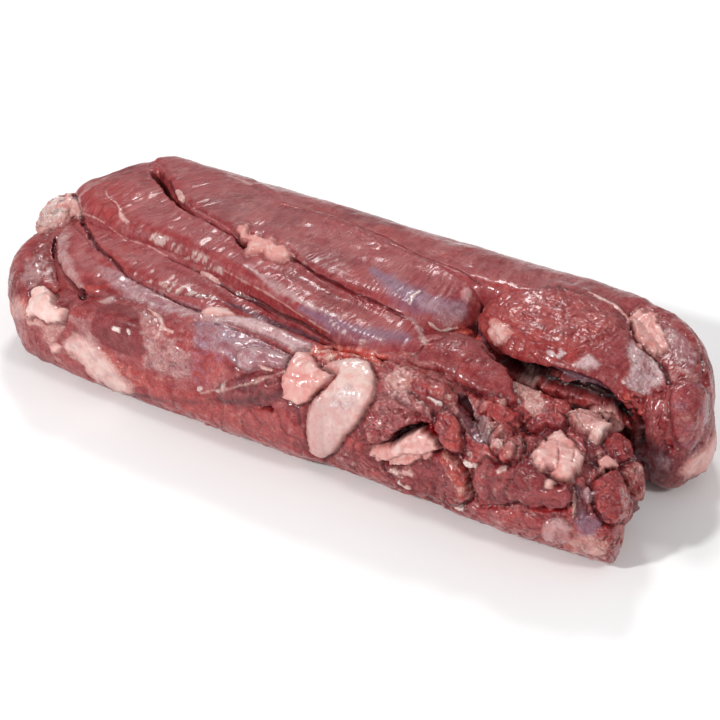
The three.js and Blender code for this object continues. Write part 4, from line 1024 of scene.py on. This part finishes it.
def landing(pixel):
    """Point and normal where the line of sight through a pixel meets the meat, or passes nearest to it."""
    across, up = (pixel[0] - FRAME_PIXELS / 2) / FRAME_PIXELS, (FRAME_PIXELS / 2 - pixel[1]) / FRAME_PIXELS
    sight = AHEAD + (RIGHTWARD * across + UPWARD * up) * SENSOR / LENS
    sight /= np.linalg.norm(sight)
    point, normal = TREE.ray_cast(EYE.tolist(), sight.tolist())[:2]
    if point is None:
        tries = [TREE.find_nearest((EYE + sight * far).tolist()) for far in np.arange(740.0, 1020.0, 4.0)]
        point, normal = min(tries, key=lambda found: found[3])[:2]
    normal = np.array(normal)
    return np.array(point), normal * -np.sign(normal @ AHEAD)


def landings(pixels, step=4.0):
    """Landings along a line of pixels, one every few pixels."""
    corners = np.asarray(pixels, float)
    run = np.concatenate([[0], np.cumsum(np.linalg.norm(np.diff(corners, axis=0), axis=1))])
    at = np.linspace(0, run[-1], max(int(run[-1] / step) + 1, 2))
    line = np.stack([np.interp(at, run, corners[:, 0]), np.interp(at, run, corners[:, 1])], -1)
    return np.array([landing(pixel)[0] for pixel in line])


def nearest_on(line, points):
    """Distance from each point to a line of landings, how far along it that is, and the line's length."""
    best, place, start = np.full(len(points), 1e9), np.zeros(len(points)), 0.0
    for a, b in zip(line[:-1], line[1:]):
        length = np.linalg.norm(b - a)
        t = np.clip((points - a) @ (b - a) / max(length ** 2, 1e-9), 0, 1)
        away = np.linalg.norm(points - a - t[:, None] * (b - a), axis=1)
        closer = away < best
        best[closer], place[closer] = away[closer], (start + t * length)[closer]
        start += length
    return best, place, start


def lay(muscle, tone, weight):
    """Lays a colour over a muscle's tint by a weight from 0 to 1."""
    muscle.tint += (tone - muscle.tint) * np.clip(weight, 0, 1)[..., None]


def lay_at(muscle, near, tone, weight):
    """The same on some points of a muscle only."""
    muscle.tint[near] += (tone - muscle.tint[near]) * np.clip(weight, 0, 1)[:, None]


def folds(points, size, seed):
    """Fine crossing folds from -1 to 1: sharp ridges where two layered noises pass zero."""
    first = 1 - 4 * np.abs(layers(points, size, seed, 2))
    second = 1 - 4 * np.abs(layers(points * 1.3 + 50, size, seed + 3, 2))
    return np.clip(np.maximum(first, second), -1, 1)


def mark(muscle, seed, line, wide, tone, weight, lift=0.0, rag=0.45, soft=0.5, sheath=0.0, wet=0.0, crinkle=0.0,
         glint_ticks=0.0, only=()):
    """Puts one mark on a muscle near a line of landings: colour, which on some marks is painted shade and on others
    painted highlight, silverskin, gloss and relief.
    """
    reach = 1.6 * max(wide) * (1 + 1.5 * rag) + 1.0
    near = ((muscle.rings > line.min(0) - reach) & (muscle.rings < line.max(0) + reach)).all(-1)
    if not near.any() or (only and muscle.name not in only):
        return
    points = muscle.rings[near]
    away, place, length = nearest_on(line, points)
    half = np.interp(place, np.linspace(0, length, len(wide)), wide)
    uneven = 1 + rag * (1.5 * layers(points, 2.6, seed, 3) + 0.8 * noise(points, 6.0, seed + 5))
    uneven = np.maximum(uneven, 0.05)
    cover = ramp(away / (half * uneven + 1e-6), 1.0, 1.0 - soft)
    # Glint ticks: the mark is broken into short painted highlights across the line, and made glossy.
    if glint_ticks:
        cover = ramp(away / (1.6 * half * uneven + 1e-6), 1.0, 0.4)
        muscle.wet[near] = np.maximum(muscle.wet[near], cover * wet)
        lengths = np.stack([muscle.run[near] + 0.3 * muscle.around[near], muscle.around[near] * 0.14,
                            np.full(len(points), seed)], -1)
        strokes = noise(lengths, 1.2, seed + 9) + 0.3 * noise(lengths * 2.1, 1.0, seed + 8)
        cover *= ramp(strokes, 0.02, 0.34) * ramp(noise(points, 5.0, seed), -0.7, 0.0)
    patch = np.zeros(muscle.rings.shape[:2])
    patch[near] = cover
    lay(muscle, tone, patch * weight)
    muscle.sheath = np.maximum(muscle.sheath, patch * sheath)
    muscle.wet = np.maximum(muscle.wet, patch * wet)
    muscle.lift += patch * lift
    if lift < -1:
        muscle.drawn *= 1 - patch
    if crinkle:
        muscle.lift[near] += cover * crinkle * folds(points, 2.4, seed + 20)


TREE = surface_tree()
for muscle in muscles:
    p = muscle.rings
    broad, streak = layers(p, 24.0, 21, 3), layers(p * (1, 0.5, 0.5), 9.0, 22, 3)
    lay(muscle, MEAT_DARK_AND_SHADE, min(0.5 + muscle.rough, 0.85) * ramp(broad, -0.6 * muscle.rough, 0.45))
    lay(muscle, MEAT_DARK_AND_SHADE, min(0.9 * muscle.rough, 0.35))
    lay(muscle, MEAT_BRIGHT, 0.45 * ramp(layers(p, 19.0, 23, 3), 0.05, 0.45))
    lay(muscle, MEAT_PALE_AND_HIGHLIGHT, 0.40 * ramp(streak, 0.10, 0.50))
    # Paler on the crests of the cross wrinkles and darker in their troughs: partly the fibres' own colour, partly
    # painted highlight and painted shade.
    lay(muscle, MEAT_PALE_AND_HIGHLIGHT, 0.35 * ramp(wrinkles(muscle), 0.2, 0.9))
    lay(muscle, MEAT_DARK_AND_SHADE, 0.35 * ramp(wrinkles(muscle), -0.2, -0.8))
    lay(muscle, MEAT_BRIGHT, min(1.7 * muscle.rough, 0.7) * ramp(layers(p, 7.0, 61, 3), -0.1, 0.3))
    # Paler on the torn chunks and dark in the creases between them: painted light on the crests and painted shade in
    # the creases.
    lay(muscle, MEAT_PALE_AND_HIGHLIGHT, min(0.6 * muscle.rough, 0.25) * ramp(muscle.chunks + 0.5 * noise(p, 2.0, 62), 0.15, 0.6))
    lay(muscle, CREASE_SHADE, min(2.0 * muscle.rough, 0.85) * muscle.creases)
    crumbs = layers(p, 2.6, 31, 3) + 0.25 * noise(p, 12.0, 32)
    lay(muscle, FAT_PINK_AND_HIGHLIGHT, min(muscle.rough + 0.1, 0.75) * ramp(crumbs, 0.42, 0.58))
    # Painted shade where two muscles meet.
    lay(muscle, CREASE_SHADE, 0.95 * ramp(muscle.gap, 0.55, -0.3) * ramp(muscle.gap, -1.8, -0.5))
    hidden = ramp(muscle.outward @ -AHEAD, 0.1, -0.2)
    skin = hidden * ramp(layers(p, 22.0, 81, 3), 0.05, 0.40)
    thread = hidden * ramp(np.abs(layers(p, 20.0, 83, 3)), 0.040, 0.012) * ramp(layers(p, 16.0, 84, 2), -0.1, 0.2)
    lay(muscle, SHEATH, 0.6 * skin)
    lay(muscle, FAT_PINK_AND_HIGHLIGHT, 0.75 * thread)
    muscle.sheath = np.maximum(muscle.sheath, 0.5 * skin)
    muscle.lift = np.zeros(muscle.rings.shape[:2])
    muscle.fat = np.zeros(muscle.rings.shape[:2])

# Patches of the surface inside outlines.

def seen(points):
    """Where points show in the photograph's frame, in pixels, and how far from the eye they are."""
    sight = points - EYE
    far = sight @ AHEAD
    scale = FRAME_PIXELS * LENS / SENSOR / far
    across, down = FRAME_PIXELS / 2 + sight @ RIGHTWARD * scale, FRAME_PIXELS / 2 - sight @ UPWARD * scale
    return np.stack([across, down], -1), far


def depth_map(cell=3):
    """Distance of the nearest meat behind each small square of the frame."""
    count = FRAME_PIXELS // cell
    nearest = np.full((count, count), 1e9)
    for muscle in muscles:
        i = np.clip((muscle.pixels / cell).astype(int), 0, count - 1)
        np.minimum.at(nearest, (i[..., 1], i[..., 0]), muscle.far)
    for muscle in muscles:
        i = np.clip((muscle.pixels / cell).astype(int), 0, count - 1)
        muscle.front = ramp(muscle.far - nearest[i[..., 1], i[..., 0]], 7.0, 4.0)


def inside(outline, pixels):
    """Distance in pixels to the edge of an outline, positive inside it."""
    away, crossings = np.full(len(pixels), 1e9), np.zeros(len(pixels), int)
    for a, b in zip(outline, np.roll(outline, -1, axis=0)):
        side = b - a
        t = np.clip((pixels - a) @ side / max(side @ side, 1e-9), 0, 1)
        away = np.minimum(away, np.linalg.norm(pixels - a - t[:, None] * side, axis=1))
        at = a[0] + (pixels[:, 1] - a[1]) * side[0] / (side[1] if side[1] else 1.0)
        crossings += ((a[1] > pixels[:, 1]) != (b[1] > pixels[:, 1])) & (pixels[:, 0] < at)
    return np.where(crossings % 2 == 1, away, -away)


def patch(muscle, seed, outline, tone, weight=1.0, lift=0.0, edge=1.5, rag=1.0, soft=0.8, second=None, share=0.5,
          size=4.0, lumpy=0.0, crease=0.0, foot=0.0, sheath=0.0, wet=0.0, fat=0.0):
    """Puts one patch on a muscle where it shows inside the outline: colours, lumps, folds and a rounded edge, with
    painted shade in the folds and in the groove round it.
    """
    rim = np.asarray(outline, float)
    reach = (3.0 + 2.0 * rag) * PIXELS_PER_MM
    pixels = muscle.pixels
    near = ((pixels > rim.min(0) - reach) & (pixels < rim.max(0) + reach)).all(-1) & (muscle.front > 0)
    if not near.any():
        return
    points, front = muscle.rings[near], muscle.front[near]
    sway = [layers(points, 3.5, seed + k, 3) for k in range(2)]
    deep = inside(rim, pixels[near] + 1.6 * rag * PIXELS_PER_MM * np.stack(sway, -1)) / PIXELS_PER_MM
    fatty = fat > 0.6
    faded = 1 - (0.0 if fatty else 0.55) * ramp(layers(points, 4.5, seed + 6, 3), 0.0, 0.5)
    soft = max(soft, 2.6 if sheath else 1.2)
    cover = ramp(deep, -soft / 2, soft / 2) * faded * front
    dome = np.sqrt(1 - (1 - np.clip(deep / edge, 0, 1)) ** 2) * front
    lumps = layers(points, size, seed + 2, 2 if fatty else 3)
    fold = ramp(np.abs(layers(warped(points, size, size / 2, seed), size * 1.5, seed + 4, 2)), 0.12, 0.0)
    around = np.exp(-((deep + 0.7) / 0.8) ** 2) * front
    lay_at(muscle, near, tone, cover * weight)
    if second is not None:
        lay_at(muscle, near, second, cover * share * ramp(lumps + 0.4 * noise(points, 1.5, seed + 9), -0.15, 0.35))
    # Painted shade in the patch's folds: pale rose on fat, dark red elsewhere.
    lay_at(muscle, near, FAT_CREASE_SHADE if fatty else CREASE_SHADE, cover * fold * min(crease, 0.8))
    if fatty:
        lay_at(muscle, near, FAT_EDGE, cover * 0.5 * np.exp(-(np.clip(deep, 0, None) / 1.1) ** 2))
    # Painted shade in the groove round the patch.
    lay_at(muscle, near, CREASE_SHADE, around * min(0.7 * foot, 0.85))
    muscle.lift[near] += dome * (lift + 0.75 * lumpy * lumps - crease * fold) - foot * around
    if lift < -1:
        muscle.drawn[near] *= 1 - cover
    if fatty or lift < 0:
        muscle.lift[near] -= 0.85 * cover * muscle.crumbly[near]
    muscle.sheath[near] = np.maximum(muscle.sheath[near], cover * sheath)
    muscle.wet[near] = np.maximum(muscle.wet[near], cover * wet)
    muscle.fat[near] = muscle.fat[near] * (1 - cover) + cover * fat


for muscle in muscles:
    muscle.pixels, muscle.far = seen(muscle.rings)
depth_map()
for number, spec in enumerate(PATCHES.values()):
    for muscle in muscles:
        patch(muscle, 300 + 11 * number, **spec)
for number, (name, spec) in enumerate(MARKS.items()):
    line = landings(spec["at"])
    rest = {key: value for key, value in spec.items() if key != "at"}
    for muscle in muscles:
        mark(muscle, 100 + 7 * number, line, **rest)
for muscle in muscles:
    above = np.clip(muscle.rings[..., 2] / 4.0, 0, 1)
    muscle.rings = muscle.rings + muscle.outward * (muscle.lift * above)[..., None]
    muscle.rings[..., 2] = np.maximum(muscle.rings[..., 2], 0)


# Meshes and materials.

def solid_mesh(name, rings, tips):
    """Mesh of rings of points: quads between neighbouring rings and a fan of triangles over each end."""
    count, sides = rings.shape[:2]
    points = np.concatenate([rings.reshape(-1, 3), tips])
    i, k = np.meshgrid(np.arange(count - 1), np.arange(sides), indexing="ij")
    a, b = i * sides + k, i * sides + (k + 1) % sides
    quads = np.stack([a, b, b + sides, a + sides], -1).reshape(-1, 4)
    k = np.arange(sides)
    n = (k + 1) % sides
    last = (count - 1) * sides
    start = np.stack([np.full(sides, count * sides), n, k], -1)
    end = np.stack([np.full(sides, count * sides + 1), last + k, last + n], -1)
    tris = np.concatenate([start, end])
    halves = np.concatenate([quads[:, [0, 1, 2]], quads[:, [0, 2, 3]], tris])
    corners = points[halves]
    volume = (corners[:, 0] * np.cross(corners[:, 1], corners[:, 2])).sum()
    if volume < 0:
        quads, tris = quads[:, ::-1], tris[:, ::-1]
    mesh = bpy.data.meshes.new(name)
    mesh.vertices.add(len(points))
    mesh.vertices.foreach_set("co", ((points - CENTRE) * METRES).ravel())
    loops = np.concatenate([quads.ravel(), tris.ravel()])
    starts = np.concatenate([np.arange(len(quads)) * 4, len(quads) * 4 + np.arange(len(tris)) * 3])
    mesh.loops.add(len(loops))
    mesh.loops.foreach_set("vertex_index", loops.astype(np.int32))
    mesh.polygons.add(len(starts))
    mesh.polygons.foreach_set("loop_start", starts.astype(np.int32))
    mesh.update(calc_edges=True)
    mesh.validate()
    mesh.polygons.foreach_set("use_smooth", np.ones(len(mesh.polygons), bool))
    return mesh


def add_colours(mesh, tint, **extras):
    """Puts a colour attribute "tint" and any plain number attributes on the mesh's points, tips last."""
    def with_tips(values):
        flat = values.reshape((-1,) + values.shape[2:])
        return np.concatenate([flat, values[0].mean(axis=0)[None], values[-1].mean(axis=0)[None]])
    rgba = np.ones((len(mesh.vertices), 4))
    rgba[:, :3] = with_tips(tint)
    mesh.color_attributes.new("tint", "FLOAT_COLOR", "POINT").data.foreach_set("color", rgba.ravel())
    for name, values in extras.items():
        mesh.attributes.new(name, "FLOAT", "POINT").data.foreach_set("value", with_tips(values))


def add_piece(name, mesh, material):
    """Object at the origin that rides with the cut and stands for its solid."""
    mesh.materials.append(material)
    piece = bpy.data.objects.new(name, mesh)
    bpy.context.scene.collection.objects.link(piece)
    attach(piece, BODY)
    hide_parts(NODE)
    return piece


class Value:
    """A shader socket that takes part in Python sums: each operation adds a Math node."""

    def __init__(self, shader, socket):
        self.shader, self.socket = shader, socket

    def math(self, operation, *values, clamp=False):
        return self.shader.node("ShaderNodeMath", dict(operation=operation, use_clamp=clamp),
                                {i: v for i, v in enumerate(values)})

    def __add__(self, other):
        return self.math("ADD", self, other)

    def __radd__(self, other):
        return self.math("ADD", other, self)

    def __sub__(self, other):
        return self.math("SUBTRACT", self, other)

    def __rsub__(self, other):
        return self.math("SUBTRACT", other, self)

    def __mul__(self, other):
        return self.math("MULTIPLY", self, other)

    def __rmul__(self, other):
        return self.math("MULTIPLY", other, self)

    def __truediv__(self, other):
        return self.math("DIVIDE", self, other)

    def __pow__(self, other):
        return self.math("POWER", self, other)

    def between(self, low, high):
        """0 at low and 1 at high, straight between and held outside."""
        return self.shader.node("ShaderNodeMapRange", dict(clamp=True, interpolation_type="SMOOTHSTEP"),
                                {0: self, 1: low, 2: high})


    def between_values(self, low, high):
        """The value itself, held between low and high."""
        return self.math("MINIMUM", self.math("MAXIMUM", self, low), high)


class Shader:
    """A material whose nodes are added by type, settings and sockets."""

    def __init__(self, name):
        self.material = bpy.data.materials.new(name)
        self.material.use_nodes = True
        self.tree = self.material.node_tree
        self.surface = self.tree.nodes["Principled BSDF"]

    def node(self, kind, settings=None, sockets=None, output=0):
        made = self.tree.nodes.new(kind)
        for key, value in (settings or {}).items():
            setattr(made, key, value)
        for key, value in (sockets or {}).items():
            self.put(made.inputs[key], value)
        return Value(self, made.outputs[output])

    def put(self, socket, value):
        if isinstance(value, Value):
            self.tree.links.new(value.socket, socket)
        else:
            socket.default_value = value

    def set(self, **sockets):
        for key, value in sockets.items():
            self.put(self.surface.inputs[key.replace("_", " ")], value)

    def attribute(self, name, output="Fac"):
        return self.node("ShaderNodeAttribute", dict(attribute_name=name), output=output)

    def grain(self, size, detail=2.0, roughness=0.5, distortion=0.0, stretch=(1, 1, 1)):
        """Noise from 0 to 1 on Object coordinates, with features of a size in millimetres."""
        place = self.node("ShaderNodeTexCoord", output="Object")
        turned = self.node("ShaderNodeMapping", sockets={"Vector": place, "Scale": stretch})
        return self.node("ShaderNodeTexNoise", sockets={
            "Vector": turned, "Scale": 1 / (size * METRES), "Detail": detail, "Roughness": roughness,
            "Distortion": distortion})

    def mix(self, share, first, second, blend="MIX"):
        return self.node("ShaderNodeMix", dict(data_type="RGBA", blend_type=blend, clamp_result=True),
                         {0: share, 6: first, 7: second}, output=2)

    def math_of(self, operation, value):
        return value.math(operation, value)

    def fibres(self, size, stretch):
        """Noise from 0 to 1 drawn out across the muscle, on its own lengths along and round it in millimetres."""
        along, round_ = self.attribute("along"), self.attribute("round")
        place = self.node("ShaderNodeCombineXYZ", sockets={0: along - 0.05 * round_, 1: round_ * (1 / stretch / 2)})
        return self.node("ShaderNodeTexNoise", sockets={
            "Vector": place, "Scale": 1 / size, "Detail": 3.0, "Roughness": 0.6, "Distortion": 0.3})

    def bump(self, height, distance, strength=1.0, onto=None):
        sockets = {"Height": height, "Distance": distance * METRES, "Strength": strength}
        if onto is not None:
            sockets["Normal"] = onto
        return self.node("ShaderNodeBump", sockets=sockets)


def meat_material():
    """Moist raw meat and fat: the tint, mottled and drawn along the fibres, with painted glints in thin lines and
    specks, glossy where it is wet.
    """
    s = Shader("moist_meat")
    tint = s.attribute("tint", "Color")
    sheath, wet, fat, drawn = s.attribute("sheath"), s.attribute("wet"), s.attribute("fat"), s.attribute("drawn")
    plain = 1 - fat
    fibre = s.fibres(0.9, 3.0)
    threads = s.fibres(0.45, 1.6)
    fine = s.grain(0.8, 3.0, 0.65)
    broad = s.grain(4.0, 3.0, 0.6)
    dark = s.mix(1.0, tint, (0.50, 0.34, 0.38, 1), "MULTIPLY")
    pale = s.mix(1.0, tint, (1.50, 2.30, 2.15, 1), "MULTIPLY")
    # The tint made pale and bright: the colour of painted glints.
    shine = s.mix(1.0, tint, (2.20, 4.60, 4.00, 1), "MULTIPLY")
    lean = drawn * plain * (1 - 0.5 * sheath)
    loose = plain * (1 - 0.75 * drawn) * (1 - 0.5 * sheath)
    # Thin winding lines in the glint colour: partly the meat's pale fibrous network, partly painted glints.
    threads_apart = s.math_of("ABSOLUTE", s.grain(1.5, 2.0, 0.55, 1.4) - 0.5)
    thread = threads_apart.between(0.085, 0.020) * broad.between(0.42, 0.58) * loose
    vein = threads_apart.between(0.050, 0.012) * broad.between(0.40, 0.52) * fat
    rosy = s.mix(1.0, tint, (0.96, 0.66, 0.64, 1), "MULTIPLY")
    # Tiny specks in the glint colour: painted highlights.
    specks = s.grain(0.55, 1.0, 0.5).between(0.66, 0.76) * loose
    base = s.mix(fibre.between(0.50, 0.70) * lean * 0.50, tint, pale)
    base = s.mix(fibre.between(0.48, 0.32) * lean * 0.50, base, dark)
    base = s.mix(broad.between(0.50, 0.30) * plain * 0.40, base, dark)
    base = s.mix(fine.between(0.46, 0.30) * plain * 0.45, base, dark)
    base = s.mix(fine.between(0.60, 0.80) * 0.40 * plain, base, pale)
    base = s.mix(thread * 0.50, base, shine)
    base = s.mix(broad.between(0.44, 0.66) * fat * 0.60, base, rosy)
    base = s.mix(vein * 0.70, base, rosy)
    base = s.mix(specks * 0.60, base, shine)
    gloss = 0.32 - 0.03 * sheath - 0.10 * wet + 0.04 * fat
    rough = (gloss + 0.22 * (broad - 0.5)).between_values(0.14, 0.5)
    film = (0.16 + 0.80 * wet + 0.15 * sheath + 0.8 * (broad - 0.5)).between_values(0.03, 1.0)
    lumps = s.bump(fibre * drawn, 0.45, 0.8)
    lumps = s.bump(threads * drawn, 0.10, 0.5, lumps)
    lumps = s.bump(fine, 0.26, 0.6, lumps)
    lumps = s.bump(thread, 0.25, 0.6, lumps)
    s.set(Base_Color=base, Roughness=rough, Normal=lumps, IOR=1.36)
    s.set(Coat_Weight=film, Coat_Roughness=0.13, Coat_IOR=1.45)
    s.set(Subsurface_Weight=0.10, Subsurface_Radius=(1.0, 0.35, 0.25), Subsurface_Scale=0.002)
    return s.material


meat = meat_material()
for muscle in muscles:
    mesh = solid_mesh(muscle.name, muscle.rings, muscle.tips)
    add_colours(mesh, muscle.tint, sheath=muscle.sheath, wet=muscle.wet, along=muscle.run, round=muscle.around,
                drawn=muscle.drawn, fat=muscle.fat)
    add_piece(muscle.name, mesh, meat)


# Floor, light and camera.

def look(thing, eye, target):
    """Places a camera or light at eye, in the layout, and turns it to the target."""
    thing.location = Vector((eye - CENTRE) * METRES)
    thing.rotation_euler = Vector((target - eye).tolist()).to_track_quat("-Z", "Y").to_euler()


def add_floor():
    """Pale matte floor, one flat square far larger than the view."""
    side = 6.0
    mesh = bpy.data.meshes.new("floor")
    mesh.from_pydata([(-side, -side, 0), (side, -side, 0), (side, side, 0), (-side, side, 0)], [], [(0, 1, 2, 3)])
    s = Shader("pale_floor")
    s.set(Base_Color=(0.96, 0.96, 0.96, 1), Roughness=0.9)
    mesh.materials.append(s.material)
    floor = bpy.data.objects.new("floor", mesh)
    bpy.context.scene.collection.objects.link(floor)


def add_light(name, azimuth, elevation, distance, size, power):
    """Square soft light at an azimuth and elevation round the object."""
    data = bpy.data.lights.new(name, "AREA")
    data.shape = "SQUARE"
    data.size = size
    data.energy = power
    light = bpy.data.objects.new(name, data)
    bpy.context.scene.collection.objects.link(light)
    towards = direction(math.radians(azimuth), math.radians(elevation))
    look(light, TARGET + towards * distance, TARGET)


def add_camera():
    data = bpy.data.cameras.new("camera")
    data.lens = LENS
    data.sensor_width = SENSOR
    data.clip_start = 0.05
    camera = bpy.data.objects.new("camera", data)
    bpy.context.scene.collection.objects.link(camera)
    look(camera, EYE, TARGET)
    bpy.context.scene.camera = camera


def set_world():
    world = bpy.data.worlds.new("soft_white")
    world.use_nodes = True
    world.node_tree.nodes["Background"].inputs["Color"].default_value = (1, 1, 1, 1)
    world.node_tree.nodes["Background"].inputs["Strength"].default_value = 0.42
    bpy.context.scene.world = world
    bpy.context.scene.view_settings.view_transform = "Standard"


add_floor()
add_light("back_light", -150, 48, 1400, 0.26, 6.5)
add_light("front_light", -22, 36, 1400, 0.10, 12)
add_light("side_light", 75, 40, 1500, 0.25, 5.5)
add_camera()
set_world()
